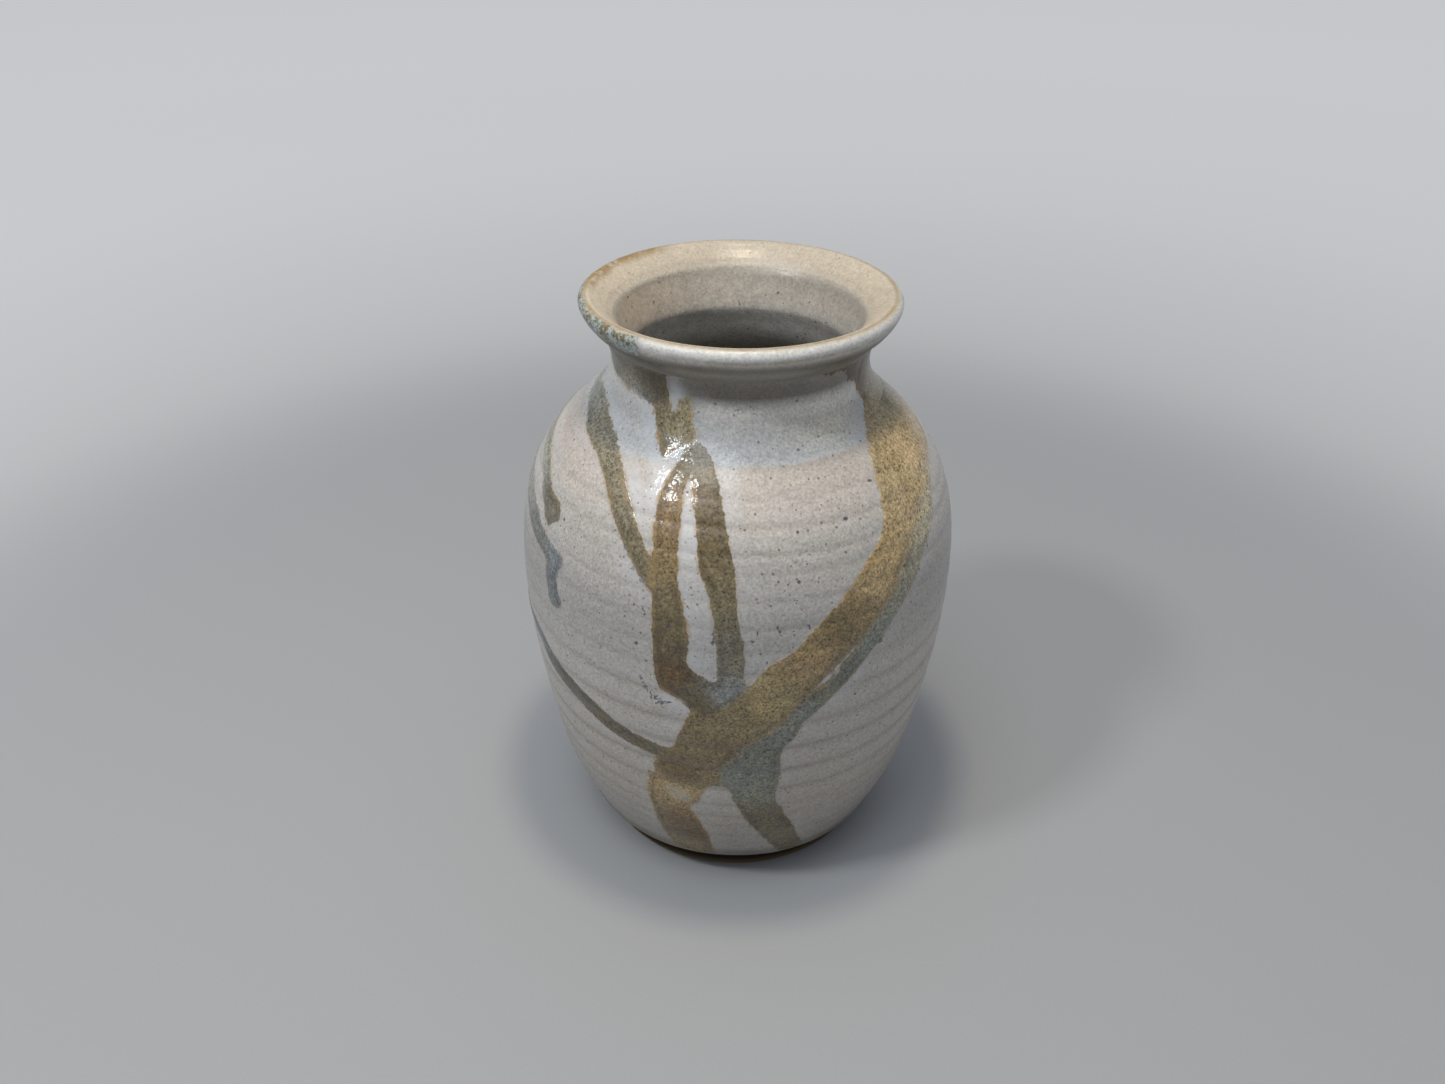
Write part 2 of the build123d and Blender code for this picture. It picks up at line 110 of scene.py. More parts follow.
# floor tones and glow: the dark near tone is painted shade round the pot; the light far tone and the glow are painted
# light
FLOOR_NEAR, FLOOR_FAR = (0.375, 0.378, 0.380, 1), (0.72, 0.705, 0.685, 1)
BACKDROP = (0.565, 0.572, 0.582, 1)
FLOOR_GLOW = [(0.0, 0.0), (0.33, 0.0), (0.40, 0.03), (0.48, 0.125), (0.60, 0.142), (0.80, 0.145), (1.10, 0.185), (1.50, 0.222), (2.10, 0.240), (4.0, 0.225)]


# overhead lamp, just in front of the pot, and a broad softbox up on the left
area("key_top", (0.0, -0.055, 0.63), (0.0, 0.0, 0.05), 0.075, KEY_W, (1.0, 0.88, 0.70))
area("soft_left", (-0.50, -0.36, 0.90), (0.0, 0.0, 0.14), 0.13, SOFT_W, (0.97, 0.985, 1.0), "RECTANGLE", 0.10)
area("soft_high", (-0.22, -0.42, 1.30), (0.0, 0.0, 0.10), 0.45, FRONT_W, (0.90, 0.945, 1.0), "RECTANGLE", 0.35)


def make_world():
    """Even pale surroundings: a little brighter overhead than at the horizon."""
    w = bpy.data.worlds.new("studio")
    bpy.context.scene.world = w
    w.use_nodes = True
    t = w.node_tree
    t.nodes.clear()
    out = t.nodes.new("ShaderNodeOutputWorld")
    bg = t.nodes.new("ShaderNodeBackground")
    tc = t.nodes.new("ShaderNodeTexCoord")
    sep = t.nodes.new("ShaderNodeSeparateXYZ")
    t.links.new(tc.outputs["Generated"], sep.inputs[0])
    cr = t.nodes.new("ShaderNodeValToRGB")
    cr.color_ramp.interpolation = "EASE"
    e = cr.color_ramp.elements
    e[0].position, e[0].color = 0.0, WORLD_LOW
    e[1].position, e[1].color = 1.0, WORLD_TOP
    k = e.new(0.30)
    k.color = WORLD_MID
    t.links.new(sep.outputs["Z"], cr.inputs["Fac"])
    t.links.new(cr.outputs["Color"], bg.inputs["Color"])
    bg.inputs["Strength"].default_value = 1.0
    # a plain pale backdrop, lit on its own, so that the room light stays soft and low
    back = t.nodes.new("ShaderNodeBackground")
    back.inputs["Color"].default_value = BACKDROP
    lp = t.nodes.new("ShaderNodeLightPath")
    mx = t.nodes.new("ShaderNodeMixShader")
    t.links.new(lp.outputs["Is Camera Ray"], mx.inputs["Fac"])
    t.links.new(bg.outputs["Background"], mx.inputs[1])
    t.links.new(back.outputs["Background"], mx.inputs[2])
    t.links.new(mx.outputs["Shader"], out.inputs["Surface"])


make_world()


def make_floor():
    """Large round floor, finest near the pot; darker near the pot as painted shade, lighter and glowing further out as
    painted light.
    """
    rings = [0.0] + list(np.geomspace(0.02, 60.0, 60))
    seg = 160
    verts, faces = [(0.0, 0.0, 0.0)], []
    for r in rings[1:]:
        for k in range(seg):
            a = 2 * math.pi * k / seg
            verts.append((r * math.cos(a), r * math.sin(a), 0.0))
    for k in range(seg):
        faces.append((0, 1 + k, 1 + (k + 1) % seg))
    for i in range(len(rings) - 2):
        a, b = 1 + i * seg, 1 + (i + 1) * seg
        for k in range(seg):
            faces.append((a + k, b + k, b + (k + 1) % seg, a + (k + 1) % seg))
    me = bpy.data.meshes.new("floor")
    me.from_pydata(verts, [], faces)
    ob = bpy.data.objects.new("floor", me)
    bpy.context.scene.collection.objects.link(ob)
    mat = bpy.data.materials.new("floor_pale")
    mat.use_nodes = True
    t = mat.node_tree
    b = t.nodes["Principled BSDF"]
    tc = t.nodes.new("ShaderNodeTexCoord")
    ln = t.nodes.new("ShaderNodeVectorMath"); ln.operation = "LENGTH"
    t.links.new(tc.outputs["Object"], ln.inputs[0])
    mr = t.nodes.new("ShaderNodeMapRange"); mr.interpolation_type = "SMOOTHERSTEP"
    t.links.new(ln.outputs["Value"], mr.inputs["Value"])
    mr.inputs["From Min"].default_value = 0.12
    mr.inputs["From Max"].default_value = 1.1
    # darker near the pot, lighter far out: painted shade near, painted light far
    mx = t.nodes.new("ShaderNodeMix"); mx.data_type = "RGBA"
    t.links.new(mr.outputs["Result"], mx.inputs[0])
    mx.inputs[6].default_value = FLOOR_NEAR
    mx.inputs[7].default_value = FLOOR_FAR
    nz = t.nodes.new("ShaderNodeTexNoise")
    nz.inputs["Scale"].default_value = 900.0
    nz.inputs["Detail"].default_value = 2.0
    t.links.new(tc.outputs["Object"], nz.inputs["Vector"])
    gr = t.nodes.new("ShaderNodeMapRange")
    t.links.new(nz.outputs["Fac"], gr.inputs["Value"])
    gr.inputs["To Min"].default_value = 0.97
    gr.inputs["To Max"].default_value = 1.03
    sc = t.nodes.new("ShaderNodeVectorMath"); sc.operation = "SCALE"
    t.links.new(mx.outputs[2], sc.inputs[0])
    t.links.new(gr.outputs["Result"], sc.inputs["Scale"])
    t.links.new(sc.outputs["Vector"], b.inputs["Base Color"])
    # the floor glows more with distance from the pot: painted light
    reach = t.nodes.new("ShaderNodeMath"); reach.operation = "MULTIPLY"
    t.links.new(ln.outputs["Value"], reach.inputs[0]); reach.inputs[1].default_value = 1.0 / FLOOR_GLOW[-1][0]
    glow = t.nodes.new("ShaderNodeValToRGB")
    glow.color_ramp.interpolation = "B_SPLINE"
    el = glow.color_ramp.elements
    for r, v in FLOOR_GLOW[1:-1]:
        k = el.new(r / FLOOR_GLOW[-1][0]); k.color = (v, v, v, 1)
    el[0].color = (0, 0, 0, 1)
    v = FLOOR_GLOW[-1][1]
    el[len(el) - 1].color = (v, v, v, 1)
    t.links.new(reach.outputs["Value"], glow.inputs["Fac"])
    b.inputs["Emission Color"].default_value = (1.0, 0.995, 0.985, 1)
    t.links.new(glow.outputs["Color"], b.inputs["Emission Strength"])
    b.inputs["Roughness"].default_value = 0.72
    b.inputs["Specular IOR Level"].default_value = 0.25
    me.materials.append(mat)


make_floor()


# =====================================================================================
# Number helpers
# =====================================================================================
def natural_spline(points, step):
    """Dense points on a smooth curve through (radius, height) points."""
    t = [0.0]
    for a, b in zip(points, points[1:]):
        t.append(t[-1] + math.hypot(b[0] - a[0], b[1] - a[1]))
    n = len(points)

    def second(v):
        a, b, c, d = [0.0] * n, [1.0] * n, [0.0] * n, [0.0] * n
        for i in range(1, n - 1):
            h0, h1 = t[i] - t[i - 1], t[i + 1] - t[i]
            a[i], b[i], c[i] = h0, 2 * (h0 + h1), h1
            d[i] = 6 * ((v[i + 1] - v[i]) / h1 - (v[i] - v[i - 1]) / h0)
        for i in range(1, n):
            w = a[i] / b[i - 1]
            b[i] -= w * c[i - 1]
            d[i] -= w * d[i - 1]
        m = [0.0] * n
        m[-1] = d[-1] / b[-1]
        for i in range(n - 2, -1, -1):
            m[i] = (d[i] - c[i] * m[i + 1]) / b[i]
        return m

    xs, ys = [p[0] for p in points], [p[1] for p in points]
    mx, my = second(xs), second(ys)

    def value(v, m, i, s):
        h = t[i + 1] - t[i]
        A, B = (t[i + 1] - s) / h, (s - t[i]) / h
        return A * v[i] + B * v[i + 1] + ((A ** 3 - A) * m[i] + (B ** 3 - B) * m[i + 1]) * h * h / 6

    out = []
    for i in range(n - 1):
        k = max(1, round((t[i + 1] - t[i]) / step))
        for j in range(k):
            s = t[i] + (t[i + 1] - t[i]) * j / k
            out.append((value(xs, mx, i, s), value(ys, my, i, s)))
    out.append(points[-1])
    return out


def sstep(a, b, x):
    u = np.clip((x - a) / (b - a), 0.0, 1.0)
    return u * u * (3 - 2 * u)


def bell(x, mid, width):
    return np.exp(-((x - mid) / width) ** 2)


def hash01(ix, iy, iz, seed):
    h = (ix.astype(np.int64) * 73856093) ^ (iy.astype(np.int64) * 19349663) ^ (iz.astype(np.int64) * 83492791) ^ (seed * 2654435761)
    h = (h ^ (h >> 13)) * 1274126177
    h = (h ^ (h >> 16)) & 0xFFFFFF
    return h.astype(np.float64) / float(0xFFFFFF)


def vnoise(x, y, z, seed):
    """Smooth value noise, about -1 to 1."""
    fx, fy, fz = np.floor(x), np.floor(y), np.floor(z)
    ux, uy, uz = x - fx, y - fy, z - fz
    ux, uy, uz = (u * u * u * (u * (u * 6 - 15) + 10) for u in (ux, uy, uz))
    out = np.zeros_like(x, dtype=float)
    for a in (0, 1):
        wx = ux if a else 1 - ux
        for b in (0, 1):
            wy = uy if b else 1 - uy
            for c in (0, 1):
                wz = uz if c else 1 - uz
                out += wx * wy * wz * hash01(fx + a, fy + b, fz + c, seed)
    return out * 2 - 1


def fbm(P, size, seed, octaves=3, gain=0.5):
    """Layered noise over points P in mm, biggest feature about size mm."""
    out, amp, total = np.zeros(len(P)), 1.0, 0.0
    f = 1.0 / size
    for k in range(octaves):
        out += amp * vnoise(P[:, 0] * f + 17.3 * k, P[:, 1] * f + 5.1 * k, P[:, 2] * f + 9.7 * k, seed + k)
        total += amp
        amp *= gain
        f *= 2.03
    return out / total


# =====================================================================================
# Form of the pot, mm.  OUTER, RIM and INNER are the glaze surface as (radius, height).
# =====================================================================================
OUTER = [
    (55.45, 10.6), (58.2, 17.2), (62.6, 27.7), (66.6, 42.8), (70.0, 61.8), (72.8, 82.6),
    (73.95, 103.4), (72.8, 124.2), (67.1, 143.2), (56.1, 158.3), (50.0, 164.0),
    (44.5, 169.7), (41.6, 176.5), (41.5, 182.3), (42.9, 187.5),
]
RIM = [
    (42.9, 187.5), (44.6, 189.1), (46.4, 190.75), (47.9, 192.3), (49.1, 193.9), (50.0, 195.4), (50.5, 196.7),
    (50.75, 197.8), (50.4, 198.9), (49.5, 199.7), (48.4, 200.0), (47.2, 199.75), (45.4, 198.6), (43.0, 196.7),
    (41.0, 194.7), (39.3, 192.7),
]
INNER = [
    (39.3, 192.7), (37.3, 188.4), (36.3, 184.0), (35.95, 180.7), (36.1, 179.2), (37.1, 176.7), (38.8, 172.6),
    (41.2, 168.3), (44.6, 163.9), (49.4, 159.0), (54.6, 153.2), (59.4, 145.8), (64.0, 135.0), (67.2, 120.0),
    (68.3, 103.0), (67.4, 85.0), (65.0, 66.0), (61.6, 48.0), (57.2, 32.0), (52.6, 21.0),
    (46.5, 14.6), (39.0, 12.0), (30.0, 11.2), (15.0, 11.0), (0.0, 11.0),
]
# bare clay from the middle of the underside, round the foot ring, up to the glaze edge
FOOT = [
    (41.2, 3.6), (42.3, 3.3), (43.0, 2.3), (43.4, 1.0), (43.9, 0.3), (44.8, 0.0), (48.8, 0.0),
    (49.6, 0.35), (50.0, 1.0), (49.6, 2.0), (48.8, 3.6), (48.5, 5.2), (49.0, 6.3), (50.4, 7.2),
    (52.3, 8.1), (54.0, 9.0), (54.9, 9.35), (55.35, 9.9), (55.45, 10.6),
]


def even(points, step, rounds):
    p = np.array(points, float)
    d = np.r_[0, np.cumsum(np.hypot(*np.diff(p, axis=0).T))]
    n = int(round(d[-1] / step))
    q = np.linspace(0, d[-1], n + 1)
    out = np.stack([np.interp(q, d, p[:, 0]), np.interp(q, d, p[:, 1])], 1)
    for _ in range(rounds):
        out[1:-1] = 0.25 * out[:-2] + 0.5 * out[1:-1] + 0.25 * out[2:]
    return out


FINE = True
COLS = 640 if FINE else 400
foot_rows = even(FOOT, 0.45, 3)
base_r = np.array([2.0, 5.0, 9.0, 14.0, 19.0, 24.0, 29.0, 34.0, 38.0, 40.2])
base_rows = np.stack([base_r, np.full(len(base_r), 3.6)], 1)
outer_rows = np.array(natural_spline(OUTER, 0.75 if FINE else 1.2))
rim_rows = np.array(natural_spline(RIM, 0.42))
inner_rows = np.array(natural_spline(INNER, 1.5 if FINE else 2.2))
inner_rows = inner_rows[inner_rows[:, 0] > 1.9]

rows = np.concatenate([base_rows, foot_rows[:-1], outer_rows[:-1], rim_rows[:-1], inner_rows])
n_base = len(base_rows)
i_glaze = n_base + len(foot_rows) - 1            # first row of the outside glaze
i_neck = i_glaze + len(outer_rows) - 1
i_throat = i_neck + len(rim_rows) - 1
sect = np.zeros(len(rows), int)
sect[i_glaze:i_neck] = 1
sect[i_neck:i_throat] = 2
sect[i_throat:] = 3
# ease the joins between the separate curves
for joint in (i_glaze, i_neck, i_throat):
    for _ in range(6):
        a, b = joint - 5, joint + 6
        rows[a:b] = 0.25 * rows[a - 1:b - 1] + 0.5 * rows[a:b] + 0.25 * rows[a + 1:b + 1]
arc = np.r_[0, np.cumsum(np.hypot(*np.diff(rows, axis=0).T))]
arc -= arc[i_glaze]
i_crest = i_neck + int(np.argmax(rows[i_neck:i_throat, 1]))
arc_crest = arc[i_crest]
tang = np.gradient(rows, axis=0)
tang /= np.linalg.norm(tang, axis=1)[:, None]
nrm2 = np.stack([tang[:, 1], -tang[:, 0]], 1)     # outward of the walking direction

R_, C_ = len(rows), COLS
theta = (np.arange(C_) / C_) * 2 * math.pi - math.pi          # -180 .. 180 degrees, 0 at the front
TH = np.broadcast_to(theta, (R_, C_))
RR = np.broadcast_to(rows[:, 0][:, None], (R_, C_)).copy()
ZZ = np.broadcast_to(rows[:, 1][:, None], (R_, C_)).copy()
SS = np.broadcast_to(arc[:, None], (R_, C_))
NR = np.broadcast_to(nrm2[:, 0][:, None], (R_, C_))
NZ = np.broadcast_to(nrm2[:, 1][:, None], (R_, C_))
TD = np.degrees(TH)
P0 = np.stack([RR * np.sin(TH), -RR * np.cos(TH), ZZ], -1).reshape(-1, 3)
shape = (R_, C_)
sec = np.broadcast_to(sect[:, None], shape)
outside = (sec == 1) | (sec == 2)


def arc_of_z(z):
    """Arc length on the outside, from a height."""
    k = slice(i_glaze, i_crest + 1)
    return np.interp(z, rows[k, 1], arc[k])


# =====================================================================================
# Poured trails: outlines as (angle in degrees from the front, + to the right; height in mm)
# =====================================================================================
TRAIL_RIGHT_BAND = [
    (60.5, 187), (59.8, 178.3), (59.5, 176), (61, 174), (62.3, 172), (61, 169.9), (59, 168.8), (56, 167),
    (53, 165), (50, 162.5), (48.5, 160.5), (46.8, 158.5), (45.8, 156), (44.8, 153), (43.5, 150), (43, 147.5),
    (42, 145.5), (40.5, 143), (38.5, 141), (36, 139), (33.5, 136.5), (31.5, 134.5), (29.5, 132), (27.5, 129.5),
    (25.5, 127), (23, 125), (21, 122.8), (19.5, 120.5), (17.5, 118.5), (16, 115.8), (14, 113.6), (11.5, 111.7),
    (9.5, 110.5), (7.8, 108.9), (6.6, 106.5), (5.4, 104.5), (4, 102.3), (3, 100.8), (0, 98), (-4, 93),
    (-7, 90.5), (-10.3, 90.3), (-11.2, 88), (-12.3, 85.5), (-13, 82), (-14, 79.5), (-14.6, 76), (-15.2, 73.3),
    (-16.5, 71.8), (-18.3, 71), (-20, 69.5), (-20.6, 67), (-20.8, 64.5), (-21.8, 62), (-21.5, 59), (-22, 57.7),
    (-24, 57.5), (-24.4, 54), (-24.8, 50), (-25.2, 46), (-25.1, 42), (-24.4, 38), (-24.2, 33), (-23.6, 27),
    (-23.1, 21), (-22.3, 17), (-21.3, 13.5), (-20.8, 11.5), (-6, 11.5), (-6, 14), (-6.8, 18), (-7.3, 22),
    (-7.6, 25), (-8.3, 28.5), (-9.3, 32), (-10, 35), (-11, 38), (-12.2, 41), (-12.8, 43.5), (-11, 45.3),
    (-9.5, 47.5), (-9, 50), (-8.5, 52), (-8, 53.5), (-7.2, 55), (-6.2, 56), (-4.5, 56.3), (-4, 58),
    (-4, 61), (-3.5, 64), (-2, 67), (-0.5, 70), (1, 73), (3, 76), (5.5, 78.5), (7.5, 80.5),
    (9.5, 82.5), (11.5, 84.5), (12.5, 87), (13.5, 90), (15.5, 93), (17.8, 95.6), (19.5, 97), (22.5, 99.5),
    (25, 102.5), (27, 105.5), (29, 108.5), (30.5, 110.5), (31.5, 112), (33, 114), (35.5, 117.5), (38, 120.5),
    (40, 123), (42.5, 126.5), (45, 131), (48, 135), (52, 139), (56, 142), (60, 144.5), (64, 146.5),
    (68, 148.3), (72, 149.5), (76, 150.3), (82, 151), (88, 152.5), (95, 155), (101, 160), (105, 166),
    (107, 173), (106, 181), (105, 187),
]
TRAIL_GREY_EDGE = [
    (-4.5, 56.3), (-4, 58), (-4, 61), (-3.5, 64), (-2, 67), (-0.5, 70), (1, 73), (3, 76),
    (5.5, 78.5), (7.5, 80.5), (9.5, 82.5), (11.5, 84.5), (12.5, 87), (13.5, 90), (15.5, 93), (17.8, 95.6),
    (19.5, 97), (22.5, 99.5), (25, 102.5), (27, 105.5), (29, 108.5), (30.5, 110.5), (31.5, 112), (33, 114),
    (35.5, 117.5), (38, 120.5), (40, 123), (42.5, 126.5), (45, 131), (48, 135), (52, 139), (56, 142),
    (60, 144.5), (64, 146.5), (68, 148.3), (72, 149.5), (76, 150.3), (72.5, 149), (70, 147), (67.5, 144.8),
    (65.5, 142.5), (63.5, 139.5), (61, 137), (59, 135), (57, 133), (54.5, 131), (52.5, 128.5), (50.5, 125.5),
    (48.5, 123), (46.5, 120.5), (44, 117.5), (41.5, 115), (39.5, 112), (38, 110.2), (37, 108.3), (35.5, 107.3),
    (34, 105), (32, 102.3), (29.5, 99), (27, 95.7), (25, 93.5), (23, 91), (20.5, 88), (18.5, 85.5),
    (17, 83.3), (16.3, 80.5), (15.3, 78), (14, 76.3), (13.2, 74.5), (12.5, 72.5), (12, 70.5), (12.3, 67),
    (12.4, 64), (12.4, 60.5), (12.3, 57), (12, 53), (11.7, 50), (12, 47.5), (13, 45), (14.2, 43),
    (15, 40), (16.2, 37.5), (17.3, 35), (18.3, 32.5), (19.5, 29), (20.6, 26), (21.7, 23), (22.6, 20),
    (24, 17.5), (25.3, 15), (26.5, 12.5), (27, 11.5), (17.5, 11.5), (16.2, 13), (14.5, 15.5), (13, 18.3),
    (11.8, 21.5), (10.3, 24), (9, 27), (7.5, 30), (6.3, 32.5), (5, 35), (3.8, 38), (2.7, 41),
    (1.6, 44), (0.8, 47), (0, 50), (-0.3, 52), (-1.2, 54.5), (-2.5, 56),
]
SLIVER_GAP = [
    (30.3, 110.8), (29.5, 107.8), (27, 104.5), (24.5, 101), (22, 98.5), (19.5, 96.5), (17.6, 95.2), (18.3, 97.2),
    (21, 100.5), (23.5, 103.5), (26, 106.5), (28.5, 109.8),
]
TRAIL_ARCH = [
    (-22.8, 157.5), (-23, 154), (-22.6, 150.5), (-22, 147), (-21.5, 143.5), (-21.2, 140.5), (-20.8, 137), (-20.4, 133),
    (-20.2, 129), (-20, 124), (-19.9, 119), (-19.8, 114), (-19.6, 109), (-19.4, 105), (-19.2, 102), (-18.8, 99.3),
    (-17.8, 97.3), (-15.8, 96), (-14, 94.5), (-12.5, 93.2), (-11, 91.5), (-9.5, 89.5), (-7.5, 88), (-4, 90),
    (0, 95), (3.2, 100.5), (2.5, 103), (2, 106), (2.3, 110), (2.1, 115), (1.7, 119), (0.9, 123),
    (0.5, 127), (0.2, 131), (-0.2, 135), (-0.5, 139), (-0.7, 142), (-1.7, 145.5), (-2.6, 149), (-3.3, 152),
    (-3.9, 155), (-5, 158), (-5.6, 160), (-7, 162.5), (-9, 165), (-11, 166.8), (-13.5, 167.9), (-16, 168.2),
    (-18.5, 167.3), (-20.3, 165), (-21.5, 161.5),
]
VOID_ARCH = [
    (-15.8, 160.4), (-14.3, 160.2), (-13.4, 158.5), (-12.6, 155.5), (-11.5, 152.5), (-10.8, 149.5), (-10.2, 146.5), (-9.8, 143),
    (-9.2, 140), (-8.3, 137), (-7, 134.5), (-6.2, 131), (-5.6, 127.5), (-5, 124), (-4.8, 120), (-4.5, 116),
    (-4.3, 111), (-4.3, 106), (-4.6, 103), (-6.5, 103.5), (-8.5, 104.8), (-10, 106.5), (-11, 108.5), (-11.5, 110.5),
    (-11.2, 113), (-10.8, 117), (-11.2, 120.5), (-11.8, 124), (-12.3, 127.5), (-13, 130.5), (-13.8, 134), (-14.2, 138),
    (-14.7, 142), (-15, 146), (-15.2, 150), (-15.5, 154), (-16.3, 157.5),
]
TRAIL_NECK_LEFT = [
    (-88, 187.2), (-88, 186), (-82, 183), (-77, 180.3), (-72, 178.3), (-66, 177.6), (-60, 177.2), (-55, 176.6),
    (-50, 176.6), (-45, 176), (-41, 175.6), (-37.5, 175.3), (-36.5, 173.5), (-35, 171.5), (-33.5, 169.8), (-31.5, 168),
    (-29.5, 166.3), (-27.5, 164.6), (-25.5, 164), (-24.5, 165.5), (-22, 166.8), (-19.5, 167.8), (-17.5, 168), (-16.5, 169.5),
    (-17.3, 171.5), (-18.5, 173.2), (-19.8, 175), (-20, 177.5), (-19.5, 180), (-20.5, 181), (-22, 180.5), (-23.5, 180),
    (-24.6, 178.5), (-25.5, 176.5), (-26.8, 175.2), (-28.5, 175.5), (-29.5, 177.5), (-29.8, 180), (-30.5, 183), (-30.5, 186),
    (-28, 187.2),
]
TRAIL_DIAGONAL = [
    (-146, 179.5), (-138, 177), (-128, 174.7), (-118, 173), (-108, 171.8), (-98, 170.8), (-92, 169), (-86, 169.5),
    (-80, 170), (-75, 170.3), (-70, 169.5), (-65, 168.8), (-60, 167.5), (-55, 166.2), (-50, 165), (-46, 163.5),
    (-43, 161.8), (-40, 160.3), (-37.5, 158.5), (-35, 156.3), (-32.5, 154), (-30, 151.5), (-28, 149), (-26, 146.5),
    (-24.3, 144), (-22.8, 142), (-21.6, 140.3), (-20.8, 138), (-20.2, 130.5), (-21.5, 132), (-23.3, 134), (-25, 136),
    (-26.5, 138), (-28.3, 140.5), (-30.5, 143), (-33, 146), (-35.5, 148.8), (-38, 151.2), (-41, 154), (-44, 156),
    (-47.5, 157.8), (-51, 159.2), (-55, 160), (-60, 160.8), (-66, 161.8), (-71, 163), (-77, 164.2), (-84, 165),
    (-92, 165.7), (-98, 166.1), (-108, 166.7), (-118, 167.8), (-128, 169.4), (-138, 171.8), (-146, 174),
]
TRAIL_LEFT_UPPER = [
    (-141, 163), (-130, 161.5), (-120, 160), (-110, 158.7), (-100, 157.5), (-92, 154.5), (-87, 153.5), (-82, 152.3),
    (-77, 151), (-73, 150.3), (-70, 149.3), (-67, 147.5), (-64, 146), (-61.5, 144.5), (-58, 144.3), (-55.5, 143.5),
    (-54, 142.2), (-53.2, 140.5), (-54, 138.8), (-55.8, 137.2), (-57.8, 135.5), (-60, 136.2), (-62, 138.5), (-64.5, 140.5),
    (-67, 142), (-70, 144), (-73, 145.5), (-77, 147), (-82, 148), (-87, 149), (-92, 149.5), (-100, 151.5),
    (-110, 152.2), (-120, 153), (-130, 154.5), (-141, 156.5),
]
TRAIL_LEFT_LOWER = [
    (-138, 150), (-128, 149.5), (-118, 149), (-108, 148.4), (-100, 147.5), (-92, 144.5), (-86, 142.5), (-80, 141),
    (-75, 139.8), (-70, 138), (-65, 136), (-61, 133.6), (-57, 132), (-53, 130.8), (-50.5, 131), (-48.8, 129.5),
    (-48, 127.8), (-49, 126), (-50, 124), (-50.5, 121.5), (-50, 118), (-49, 115.5), (-48.3, 113.5), (-49, 111.5),
    (-51, 110.2), (-53, 110.5), (-54.4, 112.5), (-54.8, 115.5), (-55.5, 118.5), (-56.3, 121.5), (-55.8, 124.3), (-57, 125.6),
    (-60, 126.5), (-64, 127.5), (-68, 129), (-73, 131), (-78, 132.5), (-84, 134.5), (-92, 136.5), (-100, 139.5),
    (-108, 140), (-118, 141), (-128, 142.5), (-138, 144),
]
TRAIL_LOWER_LEFT = [
    (-137, 126), (-130, 121), (-122, 116.5), (-114, 112.5), (-105, 108.5), (-96, 103.5), (-88, 99.5), (-80, 96.3),
    (-72, 94.8), (-67, 94.5), (-64, 94), (-61, 92.7), (-58.5, 90.5), (-56, 88.3), (-53, 86.2), (-50, 85),
    (-47, 84), (-44, 82.8), (-41, 81.5), (-38, 80), (-35, 78.2), (-32.5, 76.3), (-30, 74.8), (-27.5, 74),
    (-25, 73.4), (-22.5, 72.8), (-20, 71.8), (-17.5, 71), (-20.5, 66.5), (-23, 67), (-26, 67.8), (-29, 68.5),
    (-32, 69.5), (-35, 70.5), (-38, 72), (-41, 73.5), (-44, 74.8), (-47, 76), (-50, 77.7), (-53, 79),
    (-56, 80.5), (-59, 82), (-61.5, 84), (-64, 86), (-67, 88.3), (-70, 90), (-76, 91.5), (-84, 94),
    (-92, 98), (-100, 101.5), (-107, 104.3), (-114, 107.5), (-122, 111.5), (-130, 116), (-137, 120),
]
NECK_RIGHT_DRAPE = [
    (33.9, 187.2), (36, 186.3), (40, 185.6), (45, 186.2), (48, 185), (50, 183.3), (52, 181), (55, 179.8),
    (58, 179.8), (59.8, 178.3), (60.5, 187.2),
]
RIM_LEFT_PATCH = [
    (-96, 199.3), (-96, 195.6), (-88, 194.4), (-74, 194.2), (-58, 194.2), (-42, 194.4), (-36, 195.4), (-34, 197.2),
    (-37, 198.6), (-46, 199.2), (-62, 199.4), (-80, 199.5),
]
BACK_POUR = [
    (150, 186.2), (146, 176), (141, 166), (138, 154), (137.5, 140), (139.5, 124), (143.5, 106), (149, 90),
    (155, 76), (159, 64), (161, 52), (163.5, 45), (167, 43), (169.5, 47), (169.5, 58), (167, 72),
    (162.5, 86), (157, 101), (152.5, 116), (150, 132), (150.5, 146), (153.5, 158), (159, 168), (165, 177),
    (168, 186.2),
]
BACK_RUN = [
    (-150, 186.2), (-146.5, 174), (-142, 163), (-138, 150), (-135.5, 134), (-134.5, 118), (-135, 104), (-137, 95),
    (-139.5, 92.5), (-142, 95.5), (-142.5, 106), (-142.3, 120), (-143.5, 135), (-146.5, 150), (-151, 163), (-156.5, 174),
    (-160, 186.2),
]


